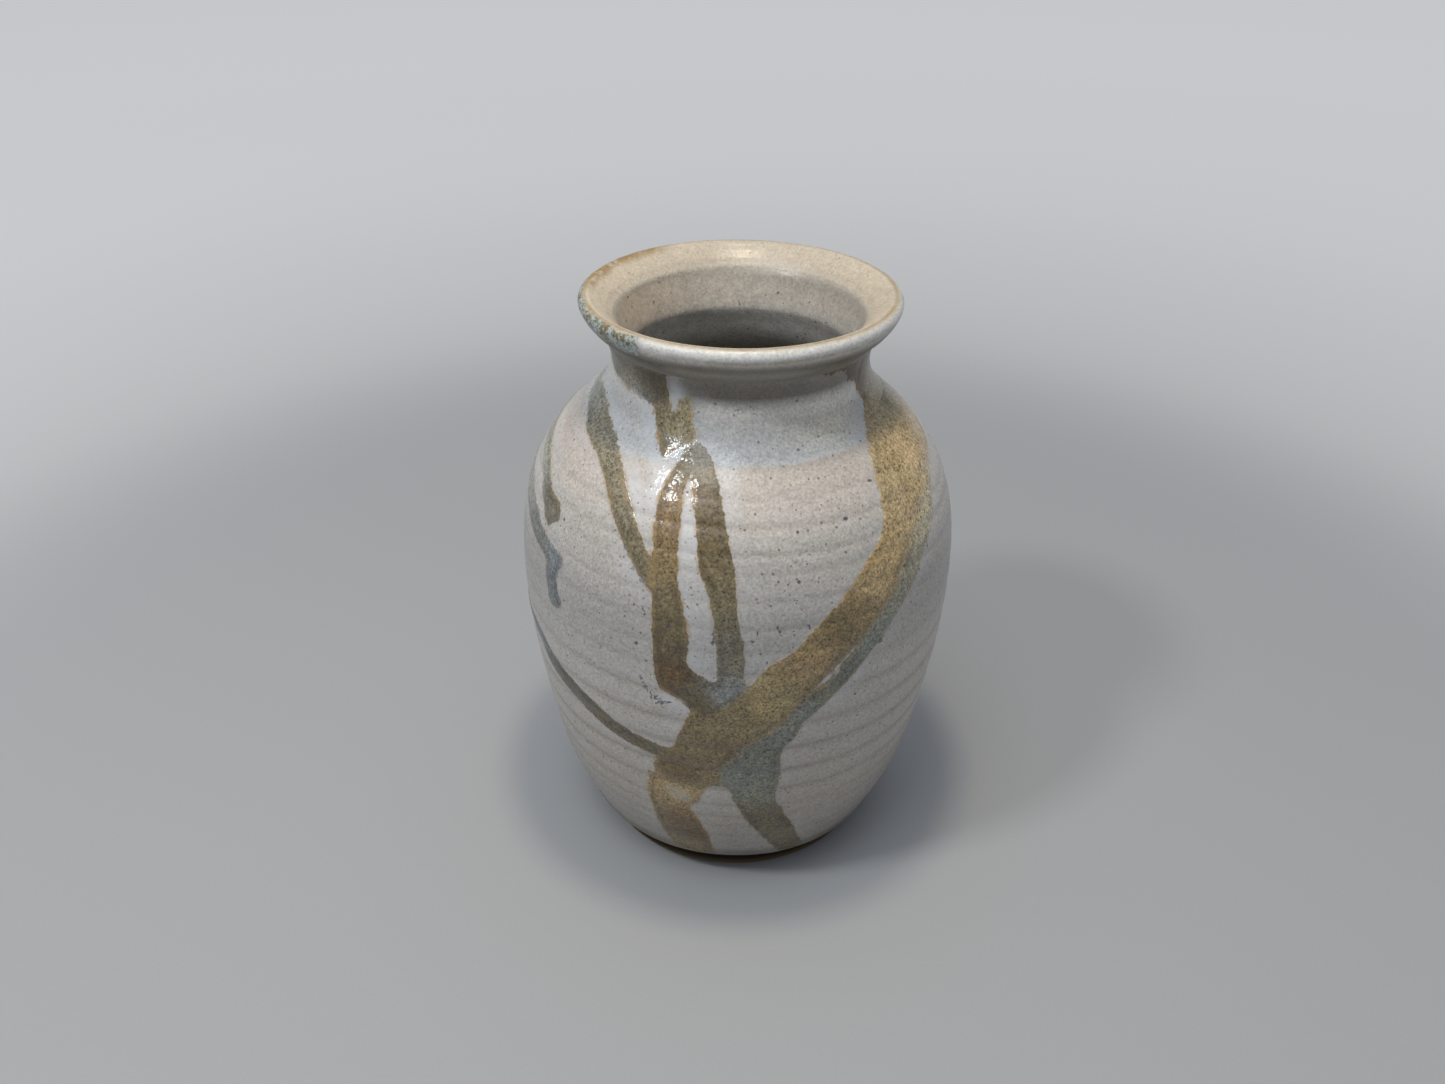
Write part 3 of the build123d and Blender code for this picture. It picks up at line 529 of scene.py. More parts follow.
def signed(outline, holes=(), reach=14.0):
    """Distance in mm to an outline drawn on the pot, positive inside it."""
    out = np.full(shape, -reach)
    pts = np.array(outline, float)
    t0, t1 = np.radians(pts[:, 0].min()), np.radians(pts[:, 0].max())
    s = arc_of_z(pts[:, 1])
    near = outside & (SS > s.min() - reach) & (SS < s.max() + reach)
    turn = TH.copy()
    mid = (t0 + t1) / 2
    turn = mid + (turn - mid + math.pi) % (2 * math.pi) - math.pi
    pad = reach / np.maximum(RR, 30.0)
    near &= (turn > t0 - pad) & (turn < t1 + pad)
    idx = np.nonzero(near.ravel())[0]
    tv, sv, rv = turn.ravel()[idx], SS.ravel()[idx], RR.ravel()[idx]
    d2 = np.full(len(idx), 1e9)
    inside = np.zeros(len(idx), bool)
    for poly in [pts] + [np.array(h, float) for h in holes]:
        a_t, a_s = np.radians(poly[:, 0]), arc_of_z(poly[:, 1])
        b_t, b_s = np.roll(a_t, -1), np.roll(a_s, -1)
        hit = np.zeros(len(idx), bool)
        for k in range(len(poly)):
            ax, ay = (a_t[k] - tv) * rv, a_s[k] - sv
            ex, ey = (b_t[k] - a_t[k]) * rv, b_s[k] - a_s[k]
            u = np.clip(-(ax * ex + ay * ey) / (ex * ex + ey * ey + 1e-9), 0, 1)
            d2 = np.minimum(d2, (ax + u * ex) ** 2 + (ay + u * ey) ** 2)
            cross = (a_s[k] > sv) != (b_s[k] > sv)
            if cross.any() and b_s[k] != a_s[k]:
                xs = a_t[k] + (sv - a_s[k]) * (b_t[k] - a_t[k]) / (b_s[k] - a_s[k])
                hit ^= cross & (xs > tv)
        inside = hit if poly is pts else inside & ~hit
    flat = out.ravel()
    flat[idx] = np.where(inside, np.sqrt(d2), -np.sqrt(d2)).clip(-reach, reach)
    return flat.reshape(shape)


TRAILS = [
    # name, outline, holes, node, slot
    ("right_band", TRAIL_RIGHT_BAND, [SLIVER_GAP], "trail_right_band", "ochre_trail"),
    ("grey_edge", TRAIL_GREY_EDGE, [SLIVER_GAP], "trail_grey_edge", "grey_green_trail"),
    ("arch", TRAIL_ARCH, [VOID_ARCH], "trail_arch", "ochre_trail"),
    ("neck_left", TRAIL_NECK_LEFT, [], "trail_neck_left", "ochre_trail"),
    ("diagonal", TRAIL_DIAGONAL, [], "trail_diagonal", "ochre_trail"),
    ("left_upper", TRAIL_LEFT_UPPER, [], "trail_left_upper", "grey_green_trail"),
    ("left_lower", TRAIL_LEFT_LOWER, [], "trail_left_lower", "grey_green_trail"),
    ("lower_left", TRAIL_LOWER_LEFT, [], "trail_lower_left", "grey_green_trail"),
    ("neck_right", NECK_RIGHT_DRAPE, [], "drape_neck_right", "grey_green_trail"),
    ("rim_left", RIM_LEFT_PATCH, [], "patch_rim_left", "grey_green_trail"),
    ("back", BACK_POUR, [], "pour_back", "ochre_trail"),
    ("back_left", BACK_RUN, [], "run_back_left", "grey_green_trail"),
]
dist = {}
for name, outline, holes, node, slot in TRAILS:
    dist[name] = signed(outline, holes)
D_ALL = np.max(np.stack([dist[t[0]] for t in TRAILS]), axis=0)
# lines where two trails overlap are soft, so the union has no inner edges
Dx = np.stack([dist[t[0]] for t in TRAILS])
soft = np.log(np.exp(np.clip(Dx, -14, 8) * 1.6).sum(0)) / 1.6
D_ALL = np.where(D_ALL > -3, np.maximum(D_ALL, np.minimum(soft, D_ALL + 0.45)), D_ALL)

# =====================================================================================
# Relief
# =====================================================================================
# throwing grooves, a slow helix: (height at the front, depth 0..1)
GROOVES = [
    (14.0, .15), (20.5, .25), (27.5, .4), (33.5, .35), (39.0, .4), (45.1, .55), (53.8, .95), (63.3, 1.2), (73.9, 1.2),
    (84.5, 1.05), (95.3, .9), (105.7, .55), (113.5, .4), (121.5, .45), (130.3, .5), (138.6, .5),
    (143.3, .7), (150.3, .75), (157.0, .35), (163.5, .2), (169.0, .3), (174.5, .4), (180.0, .3), (187.5, .2),
]
gz = np.array([g[0] for g in GROOVES]); gd = np.array([g[1] for g in GROOVES])
phase = np.interp(ZZ, gz, np.arange(len(gz))) + TH / (2 * math.pi)
depth = np.interp(phase, np.arange(len(gz)), gd)
u = phase - np.floor(phase)
wave = (1 + np.cos(2 * math.pi * u)) / 2
groove = 0.45 * wave ** 1.7 + 0.55 * wave ** 9
lowmod = fbm(P0 * np.array([1, 1, 0.35]), 46.0, 11, 2).reshape(shape)
in_body = sstep(9.5, 24.0, ZZ) * (1 - sstep(183.0, 190.0, ZZ)) * (sec == 1)
ring_relief = -RING_MM * depth * groove * (1 + 0.55 * lowmod) * in_body
# fine wiping marks between the grooves
fine_ph = ZZ / 2.35 + TH / (2 * math.pi) + 0.7 * lowmod
fine = np.cos(2 * math.pi * fine_ph) * 0.010 * in_body * (0.6 + 0.6 * np.abs(lowmod))

lump = (0.10 * fbm(P0, 24.0, 3, 2) + 0.035 * fbm(P0, 7.0, 5, 2)).reshape(shape)
trail_h = TRAIL_MM * sstep(-0.9, 2.2, D_ALL) * (1 + 0.25 * fbm(P0, 14.0, 21, 2).reshape(shape))
trail_h *= 1 - 0.6 * sstep(186.0, 190.0, ZZ)
# the glaze runs a little thicker towards its lower edge, where it stops in a rounded, wavering bead
s_edge = SS - 0.8
bead = 0.30 * bell(s_edge, 0.6, 1.5) * (sec == 1)
h = np.zeros(shape)
h += ring_relief + fine + lump * (0.35 + 0.65 * (sec != 0)) * sstep(0.0, 6.0, ZZ) + bead
h += trail_h * outside
# inside: softer rings
ph_in = ZZ / 9.2 - TH / (2 * math.pi)
h += np.where(sec == 3, 0.16 * np.cos(2 * math.pi * ph_in) * sstep(24, 40, ZZ) * (1 - sstep(160, 172, ZZ)), 0.0)
h += np.where(sec == 3, 0.05 * np.cos(2 * math.pi * (RR / 5.5 + TH / (2 * math.pi))) * (1 - sstep(13.0, 20.0, ZZ)) * sstep(6, 16, RR), 0.0)
# soft finger rings all over the rim, one every 3.1 mm
h += np.where(sec == 2, 0.05 * np.cos(2 * math.pi * SS / 3.1) * 0.5, 0.0)

# the pot is very slightly out of round; the lean and shift of the mouth are set to zero
ovality = 0.10 * np.cos(2 * (TH - 0.7)) + 0.08 * np.cos(3 * TH + 0.4)
h_out = ovality * sstep(5, 60, ZZ) * np.where(sec == 3, -1.0, 1.0)

Rf = RR + NR * h + h_out * NR
Zf = ZZ + NZ * h
up_w = sstep(150.0, 196.0, ZZ)
Zf = Zf + up_w * (RIM_TILT_X * np.sin(TH) - RIM_TILT_Y * np.cos(TH)) * RR / 50.0
Zf = np.where((sec == 0) & (ZZ < 6.0), np.maximum(Zf, 0.0), Zf)
# wavering lower edge of the glaze
waver = (0.34 * fbm(np.stack([np.cos(TH).ravel() * 30, np.sin(TH).ravel() * 30, np.zeros(TH.size)], 1), 13.0, 31, 3)).reshape(shape)
edge_zone = bell(ZZ, 10.2, 3.0) * ((sec <= 1)) * (ZZ > 6.5)
Zf = Zf + waver * edge_zone
Xf = Rf * np.sin(TH) + up_w * RIM_SHIFT_X
Yf = -Rf * np.cos(TH) + up_w * RIM_SHIFT_Y
POS = np.stack([Xf, Yf, Zf], -1)

# smooth normals of the whole skin, shared by the pieces so that no border shows
du = np.roll(POS, -1, axis=1) - np.roll(POS, 1, axis=1)
dv = np.gradient(POS, axis=0)
NOR = np.cross(du, dv)
NOR /= np.maximum(np.linalg.norm(NOR, axis=-1, keepdims=True), 1e-12)

# =====================================================================================
# Colour zones (linear reflectance)
# =====================================================================================
# colours of each trail at a few places on it: (angle, height, colour). The very dark stops under the lip, at about 177
# to 187 mm, are partly olive glaze and partly painted shade; the other stops also hold some light and shade
STOPS = {
    "right_band": [
        (92, 158, (0.420, 0.330, 0.190)),
        (65, 158, (0.592, 0.441, 0.251)),
        (55, 158, (0.394, 0.302, 0.157)),
        (70, 168, (0.460, 0.385, 0.245)),
        (64, 178, (0.082, 0.048, 0.013)),
        (70, 184, (0.088, 0.058, 0.022)),
        (78, 177, (0.200, 0.160, 0.085)),
        (80, 170, (0.300, 0.240, 0.125)),
        (48, 148, (0.419, 0.324, 0.183)),
        (38, 134, (0.411, 0.295, 0.137)),
        (25, 118, (0.179, 0.129, 0.053)),
        (28, 108, (0.255, 0.190, 0.100)),
        (20, 107, (0.360, 0.248, 0.116)),
        (10, 97, (0.322, 0.251, 0.124)),
        (0, 85, (0.204, 0.163, 0.088)),
        (-8, 75, (0.188, 0.139, 0.067)),
        (-15, 62, (0.146, 0.102, 0.048)),
        (-22, 40, (0.271, 0.195, 0.093)),
        (-17, 35, (0.174, 0.114, 0.050)),
        (-11, 28, (0.132, 0.079, 0.026)),
        (-18, 17, (0.229, 0.176, 0.091)),
        (-15, 49, (0.396, 0.298, 0.152)),
    ],
    "grey_edge": [
        (60, 141, (0.471, 0.419, 0.282)),
        (48, 128, (0.293, 0.268, 0.184)),
        (38, 114, (0.216, 0.229, 0.191)),
        (26, 98, (0.186, 0.188, 0.146)),
        (17, 88, (0.218, 0.221, 0.185)),
        (5, 70, (0.171, 0.175, 0.143)),
        (6, 55, (0.197, 0.198, 0.154)),
        (9, 35, (0.151, 0.120, 0.060)),
        (18, 20, (0.165, 0.129, 0.067)),
    ],
    "arch": [
        (-19, 153, (0.220, 0.147, 0.070)),
        (-18, 140, (0.213, 0.156, 0.074)),
        (-16, 120, (0.140, 0.111, 0.052)),
        (-15, 104, (0.106, 0.064, 0.023)),
        (-9, 93, (0.108, 0.087, 0.043)),
        (-13, 165, (0.160, 0.128, 0.066)),
        (-6, 150, (0.133, 0.104, 0.056)),
        (-3, 130, (0.178, 0.147, 0.081)),
        (-1, 112, (0.165, 0.148, 0.105)),
        (-1, 98, (0.225, 0.245, 0.252)),
    ],
    "neck_left": [
        (-30, 172, (0.305, 0.245, 0.138)),
        (-21, 174, (0.471, 0.394, 0.221)),
        (-26, 166, (0.160, 0.130, 0.066)),
        (-45, 181, (0.089, 0.056, 0.014)),
        (-38, 184.5, (0.040, 0.030, 0.012)),
        (-33, 181, (0.061, 0.041, 0.011)),
        (-50, 176.6, (0.458, 0.500, 0.500)),
        (-60, 177.4, (0.352, 0.338, 0.238)),
        (-70, 178.4, (0.210, 0.202, 0.141)),
        (-80, 180.4, (0.270, 0.255, 0.195)),
        (-52, 180, (0.195, 0.150, 0.061)),
        (-66, 181, (0.105, 0.080, 0.031)),
        (-32, 186, (0.040, 0.032, 0.016)),
        (-58, 184.5, (0.075, 0.057, 0.026)),
        (-72, 184, (0.070, 0.054, 0.026)),
    ],
    "diagonal": [
        (-130, 173, (0.300, 0.280, 0.200)),
        (-100, 168, (0.300, 0.290, 0.220)),
        (-80, 167, (0.300, 0.290, 0.240)),
        (-55, 163.5, (0.230, 0.205, 0.143)),
        (-36, 153.5, (0.211, 0.177, 0.116)),
        (-26, 141, (0.203, 0.170, 0.101)),
    ],
    "left_upper": [
        (-125, 157, (0.280, 0.270, 0.220)),
        (-75, 148, (0.300, 0.290, 0.240)),
        (-58, 140.5, (0.162, 0.142, 0.103)),
    ],
    "left_lower": [
        (-125, 145, (0.270, 0.270, 0.220)),
        (-80, 137, (0.280, 0.280, 0.240)),
        (-62, 131, (0.173, 0.180, 0.162)),
        (-52, 128, (0.206, 0.223, 0.226)),
        (-52, 117, (0.146, 0.164, 0.173)),
    ],
    "lower_left": [
        (-63, 93.6, (0.134, 0.156, 0.167)),
        (-50, 84, (0.092, 0.095, 0.088)),
        (-38, 79.2, (0.090, 0.097, 0.093)),
        (-26, 73.2, (0.087, 0.091, 0.090)),
        (-125, 116, (0.260, 0.250, 0.190)),
        (-80, 95, (0.260, 0.250, 0.200)),
        (-65, 91, (0.120, 0.119, 0.117)),
        (-50, 81, (0.103, 0.088, 0.034)),
        (-38, 76, (0.139, 0.095, 0.042)),
        (-26, 70.5, (0.153, 0.115, 0.052)),
    ],
    "neck_right": [
        (40, 186.5, (0.070, 0.055, 0.024)),
        (48, 186, (0.066, 0.050, 0.020)),
        (57, 182, (0.091, 0.058, 0.016)),
    ],
    "rim_left": [
        (-60, 197.5, (0.300, 0.310, 0.250)),
        (-45, 197.5, (0.330, 0.340, 0.280)),
    ],
    "back": [
        (146, 178, (0.320, 0.280, 0.180)),
        (145, 155, (0.400, 0.320, 0.180)),
        (144, 125, (0.300, 0.240, 0.140)),
        (155, 90, (0.250, 0.200, 0.120)),
        (165, 55, (0.220, 0.170, 0.100)),
    ],
    "back_left": [
        (-153, 178, (0.280, 0.260, 0.180)),
        (-146, 160, (0.300, 0.290, 0.220)),
        (-139, 130, (0.270, 0.270, 0.220)),
        (-139, 100, (0.250, 0.260, 0.240)),
    ],
}
# pale coat by height: the dark values at 10 and 13 mm, just above the foot, are painted shade; the rest also holds some
# light and shade by height
COAT = [(10, (0.160, 0.140, 0.108)), (13, (0.185, 0.165, 0.132)), (17, (0.375, 0.350, 0.308)), (30, (0.385, 0.356, 0.315)), (40, (0.398, 0.364, 0.318)), (60, (0.447, 0.420, 0.376)), (80, (0.462, 0.435, 0.395)), (92, (0.478, 0.452, 0.415)), (101, (0.452, 0.430, 0.402)), (110, (0.405, 0.388, 0.364)), (122, (0.372, 0.352, 0.330)), (132, (0.430, 0.408, 0.378)), (145, (0.440, 0.420, 0.388)), (152, (0.478, 0.443, 0.402)), (158, (0.462, 0.416, 0.375)), (164, (0.458, 0.410, 0.360))]
# dip zone by height: the light value at 177 mm is painted light, and the dark band from 181.5 to 187.5 mm is painted
# shade under the lip
DIP = [(160, (0.480, 0.480, 0.470)), (166, (0.460, 0.460, 0.445)), (172, (0.480, 0.473, 0.450)), (177, (0.625, 0.612, 0.570)), (179.2, (0.460, 0.445, 0.408)), (181.5, (0.150, 0.138, 0.118)), (184.5, (0.155, 0.140, 0.118)), (187.5, (0.200, 0.185, 0.155))]
HALO_BASE = 0.10
# soft whitish areas beside the trails: (angle, height, angle width, height width, strength)
HALO_BLOBS = [
    (-28, 158, 9, 9, 0.95), (-12, 150, 6, 14, 0.75), (-12, 128, 6, 14, 0.45), (-9, 108, 5, 8, 0.45),
    (-13, 93, 5, 4, 0.95), (-19, 88, 6, 5, 0.5), (0, 160, 6, 8, 0.45), (-35, 172, 9, 6, 0.65), (-26, 182, 4, 6, 0.5),
    (-28, 135, 6, 8, 0.45), (-60, 168, 16, 7, 0.45), (22, 100, 10, 8, 0.55), (-70, 157, 16, 4, 0.4),
    (45, 168, 10, 6, 0.4), (-8, 50, 5, 6, 0.3), (60, 172, 8, 6, 0.4), (150, 120, 22, 40, 0.4), (-140, 130, 22, 30, 0.45),
]
FRINGE_BASE = 0.22
FRINGE_BLOBS = [
    (-30, 171, 12, 9, 0.9), (-19, 158, 6, 9, 0.9), (-20, 128, 4, 22, 0.5), (-12, 130, 4, 20, 0.5), (-19, 172, 4, 6, 0.8),
    (50, 152, 12, 12, 0.45), (30, 132, 14, 12, 0.3), (-15, 98, 6, 4, 0.7), (-9, 30, 4, 16, 0.45), (62, 172, 6, 6, 0.45),
    (-36, 155, 8, 6, 0.4), (-60, 177, 25, 5, 0.6), (145, 140, 12, 40, 0.5), (-6, 55, 6, 4, 0.5), (-20, 66, 6, 8, 0.35),
]
# thin scuffed marks, as points (angle, height)
SCUFF_LINES = [
    [(-23.1, 100.6), (-22.9, 99.2)], [(-22.6, 98.0), (-22.0, 96.7)], [(-22.7, 96.4), (-22.1, 95.9)],
    [(-21.8, 95.6), (-21.2, 94.4)], [(-21.0, 94.8), (-20.1, 93.7), (-20.5, 92.8)], [(-20.0, 93.5), (-19.1, 92.4)],
    [(-19.7, 92.1), (-18.9, 91.5)], [(-18.9, 92.7), (-18.1, 91.7), (-17.6, 92.3)], [(-17.4, 91.2), (-16.7, 91.9)],
    [(-16.6, 92.4), (-16.0, 91.8), (-15.3, 92.6)], [(-20.1, 91.2), (-19.3, 90.6), (-18.4, 91.0)], [(-19.0, 93.6), (-18.5, 93.0)],
    [(9.6, 122.5), (10.1, 121), (10.8, 120.2)],
    [(17.2, 122), (17.6, 121.2), (17.5, 120.4)],
    [(4.0, 118), (4.1, 117)], [(4.9, 121.5), (5.2, 120.8)],
    [(-5.4, 122), (-5.0, 119.5), (-5.2, 117)],
    [(-22.3, 125.0), (-21.7, 123.2)],
]
SEAM_LINES = [
    [(4.0, 77.2), (5.5, 78.7), (7.5, 80.7), (9.5, 82.7), (11.5, 84.7), (12.7, 87.2), (13.9, 90.2), (15.7, 92.8), (17.4, 95.0), (20.0, 98.2), (23.0, 101.6), (26.0, 105.2), (29.0, 109.2)],
]
# single marks: angle, height, radius mm, edge, strength, colour, stretch
BLUE_BLACK, BROWN_BLACK, RUST, BLUE_GREY, PALE = (0.045, 0.050, 0.075), (0.065, 0.042, 0.030), (0.22, 0.10, 0.05), (0.17, 0.19, 0.25), (0.56, 0.52, 0.46)
SPOTS = [
    (43.0, 156.0, 0.66, 0.20, 0.85, BROWN_BLACK, (0.55, 1, 1.5)), (30.5, 149.6, 0.58, 0.22, 0.85, BLUE_BLACK, (0.6, 1, 1.3)),
    (23.0, 150.1, 0.45, 0.20, 0.7, BLUE_BLACK, (1, 1, 1)), (55.0, 149.3, 0.50, 0.20, 0.7, BLUE_BLACK, (1, 1, 1)),
    (57.5, 155.3, 0.45, 0.20, 0.7, BROWN_BLACK, (0.5, 0.5, 1.4)), (-24.0, 112.5, 0.55, 0.20, 0.85, BLUE_BLACK, (1, 1, 1)),
    (-24.7, 125.6, 0.40, 0.20, 0.7, BROWN_BLACK, (1, 1, 1)), (-23.0, 133.6, 0.85, 0.35, 0.75, BLUE_GREY, (0.8, 1, 1.2)),
    (-26.0, 136.4, 0.60, 0.3, 0.6, BLUE_GREY, (1, 1, 1)), (-29.0, 141.3, 0.6, 0.3, 0.55, BLUE_GREY, (1, 1, 1)),
    (-15.7, 121.3, 0.55, 0.20, 0.85, BLUE_BLACK, (1, 1, 1)), (-13.8, 113.7, 0.50, 0.20, 0.8, BROWN_BLACK, (1, 1, 1)),
    (37.2, 108.8, 0.90, 0.35, 0.75, BLUE_BLACK, (0.8, 1, 1)), (38.4, 109.6, 0.40, 0.2, 0.6, BLUE_BLACK, (1, 1, 1)),
    (14.0, 77.6, 0.75, 0.30, 0.75, BLUE_BLACK, (0.8, 1, 1)), (12.4, 76.2, 0.5, 0.25, 0.6, BLUE_BLACK, (1, 1, 1)),
    (56.2, 132.8, 0.55, 0.25, 0.7, BLUE_BLACK, (1, 1, 1)), (56.6, 131.2, 0.5, 0.25, 0.6, BLUE_BLACK, (1, 1, 1)),
    (1.5, 72.5, 0.50, 0.25, 0.7, RUST, (1, 1, 1)), (3.3, 71.0, 0.65, 0.25, 0.7, BROWN_BLACK, (1, 1, 0.8)),
    (-9.5, 63.6, 0.60, 0.25, 0.8, BROWN_BLACK, (0.7, 1, 1)), (-58.5, 141.5, 0.8, 0.3, 0.6, BROWN_BLACK, (1, 1, 1)),
    (-60.2, 139.8, 0.9, 0.4, 0.45, BROWN_BLACK, (1, 1, 1)), (-67.8, 146.6, 0.5, 0.25, 0.6, BLUE_BLACK, (1, 1, 1)),
    (-63.8, 145.9, 0.5, 0.25, 0.6, BLUE_BLACK, (1, 1, 1)),
    (-15.0, 48.8, 3.4, 1.6, 0.42, PALE, (1, 1, 1)), (-18.0, 52.0, 1.6, 1.0, 0.35, PALE, (1, 1, 1)),
    (-13.2, 92.6, 1.8, 1.2, 0.55, PALE, (1, 1, 1)), (24.2, 179.5, 0.5, 0.2, 0.7, BLUE_BLACK, (1, 1, 1)),
    (-2.0, 176.5, 0.35, 0.2, 0.6, BROWN_BLACK, (1, 1, 1)), (7.5, 169.2, 0.4, 0.2, 0.6, BROWN_BLACK, (1, 1, 1)),
]
RIM_SPOTS = [
    ((-33.5, 34.9, 199.0), 0.95, 0.35, 0.7, (0.17, 0.21, 0.32), (0.8, 1.3, 1)),
    ((-18.3, 39.9, 199.2), 0.45, 0.2, 0.65, (0.12, 0.12, 0.16), (1.0, 0.35, 0.4)),
    ((-19.2, 36.7, 198.0), 0.45, 0.2, 0.65, (0.12, 0.12, 0.16), (1.2, 0.3, 0.4)),
    ((-37.0, 22.3, 196.5), 0.45, 0.2, 0.75, (0.16, 0.12, 0.06), (1, 1, 1)),
    ((3.2, 43.5, 197.0), 0.4, 0.2, 0.5, (0.16, 0.11, 0.07), (1, 1, 1)),
]
# colour across the rim, by distance from the crest in mm (+ inwards); the dark values from -16.7 to -7.4 are painted
# shade under the lip, and the light ones at -4.9 to -3.0 are partly painted light on the lip face
RIM_OUT = [
    (-16.7, (0.33, 0.31, 0.27)), (-14.2, (0.38, 0.362, 0.32)), (-12.4, (0.33, 0.315, 0.28)), (-10.4, (0.22, 0.208, 0.18)), (-8.8, (0.155, 0.145, 0.122)),
    (-7.4, (0.235, 0.225, 0.20)), (-6.2, (0.43, 0.415, 0.38)), (-4.9, (0.62, 0.605, 0.57)), (-3.0, (0.61, 0.61, 0.595)), (-1.6, (0.53, 0.515, 0.48)),
    (-0.8, (0.43, 0.39, 0.32)), (0.8, (0.49, 0.43, 0.34)), (4.0, (0.49, 0.425, 0.335)), (8.0, (0.48, 0.415, 0.325)), (10.4, (0.46, 0.41, 0.335)), (11.6, (0.39, 0.36, 0.31)), (13.0, (0.35, 0.325, 0.28)),
]
# inside colour by height holds painted light and shade: the dark values below about 166 mm and the dip at 179.2 mm are
# painted shade
LINER = [
    (0.0, (0.50, 0.49, 0.46)), (60.0, (0.50, 0.49, 0.46)), (140.0, (0.40, 0.39, 0.37)), (160.0, (0.30, 0.292, 0.275)), (162.5, (0.34, 0.33, 0.31)), (165.5, (0.53, 0.52, 0.49)), (168.5, (0.64, 0.635, 0.61)), (171.5, (0.73, 0.725, 0.70)), (174.0, (0.69, 0.68, 0.65)),
    (177.8, (0.62, 0.61, 0.57)), (179.2, (0.50, 0.49, 0.455)), (180.0, (0.66, 0.63, 0.57)), (182.0, (0.62, 0.585, 0.52)), (184.0, (0.53, 0.495, 0.44)),
    (186.5, (0.49, 0.455, 0.40)), (189.0, (0.41, 0.38, 0.335)), (191.5, (0.34, 0.315, 0.275)), (193.0, (0.38, 0.35, 0.30)),
]
# bare clay by height: the near-black values from 2.6 to 8.6 mm are painted shade in the recess under the glaze edge
CLAY = [
    (0.0, (0.13, 0.085, 0.035)), (0.8, (0.19, 0.13, 0.060)), (1.9, (0.085, 0.052, 0.022)), (2.6, (0.018, 0.011, 0.007)), (8.6, (0.008, 0.006, 0.004)), (9.6, (0.03, 0.022, 0.016)), (11.0, (0.07, 0.052, 0.036)), (12.0, (0.20, 0.14, 0.10)),
]


def blend_stops(stops, power=3.0, soft=3.0):
    """Soft blend of a few (angle, height, colour) stops over the skin."""
    acc = np.zeros(shape + (3,))
    tot = np.zeros(shape)
    for t, z, c in stops:
        dth = (TD - t + 180.0) % 360.0 - 180.0
        d2 = (np.radians(dth) * np.maximum(RR, 30.0)) ** 2 + (SS - arc_of_z(z)) ** 2
        w = 1.0 / (d2 + soft ** 2) ** (power / 2)
        acc += w[..., None] * np.array(c)
        tot += w
    return acc / tot[..., None]


def along(table, x):
    z = [r[0] for r in table]
    return np.stack([np.interp(x, z, [r[1][k] for r in table]) for k in range(3)], -1)


# pale glaze: colour by height below the dip line, and above it; both tables hold painted shade (just above the foot,
# under the lip) and some painted light
coat_low = along(COAT, ZZ)
coat_dip = along(DIP, ZZ)
mott = fbm(P0, 30.0, 41, 3).reshape(shape)
mott2 = fbm(P0, 9.0, 43, 2).reshape(shape)
warmcool = fbm(P0, 42.0, 47, 2).reshape(shape)
tint = 1 + 0.035 * mott[..., None] + 0.025 * mott2[..., None] + warmcool[..., None] * np.array([0.018, 0.0, -0.02])
coat_low = coat_low * tint
coat_dip = coat_dip * (1 + 0.03 * mott[..., None] + 0.02 * mott2[..., None])
coat_dip = coat_dip * (1 + (np.exp(-((TD - 38.0) / 17.0) ** 2) * bell(ZZ, 170.5, 5.5))[..., None] * np.array([0.34, 0.27, 0.16]))
# painted shade on the neck between the trails around -23 degrees, 178 mm, and a milder darkening around -62 degrees,
# 173 mm
coat_dip = coat_dip * (1 - 0.40 * np.exp(-((TD + 23.0) / 7.5) ** 2) * bell(ZZ, 178.5, 6.5) - 0.15 * np.exp(-((TD + 62.0) / 15.0) ** 2) * bell(ZZ, 173.0, 6.0))[..., None]
DIP_Z = 163.8 - 2.6 * bell(TD, -52.0, 22.0) + 1.2 * bell(TD, 100.0, 40.0) - 1.6 * bell(TD, 175.0, 38.0)
ddip = (SS - arc_of_z(DIP_Z))

wsum = np.zeros(shape)
trail_col = np.zeros(shape + (3,))
for name, outline, holes, node, slot in TRAILS:
    w = np.exp(np.clip(dist[name], -13.0, 6.0) * 1.1)
    trail_col += w[..., None] * blend_stops(STOPS[name])
    wsum += w
trail_col /= wsum[..., None]
flow = P0 @ np.array([[0.80, 0.0, -0.60], [0.0, 1.0, 0.0], [0.60, 0.0, 0.80]]) * np.array([1.0, 1.0, 0.45])
calm = (1 - 0.60 * sstep(100.0, 135.0, ZZ))[..., None]
trail_col *= 1 + calm * (0.20 * fbm(flow, 9.0, 51, 3).reshape(shape)[..., None] + 0.15 * fbm(P0, 4.2, 53, 3).reshape(shape)[..., None])
trail_col *= 1 + calm * fbm(P0, 8.0, 57, 2).reshape(shape)[..., None] * np.array([0.08, 0.015, -0.13])


def patchmask(blobs):
    m = np.zeros(shape)
    for t, z, wt, wz, a in blobs:
        dth = (TD - t + 180.0) % 360.0 - 180.0
        m = np.maximum(m, a * np.exp(-(dth / wt) ** 2 - ((ZZ - z) / wz) ** 2))
    return m * outside


HALO = np.clip(HALO_BASE + patchmask(HALO_BLOBS), 0, 1)
FRINGE = np.clip(FRINGE_BASE + patchmask(FRINGE_BLOBS), 0, 1)


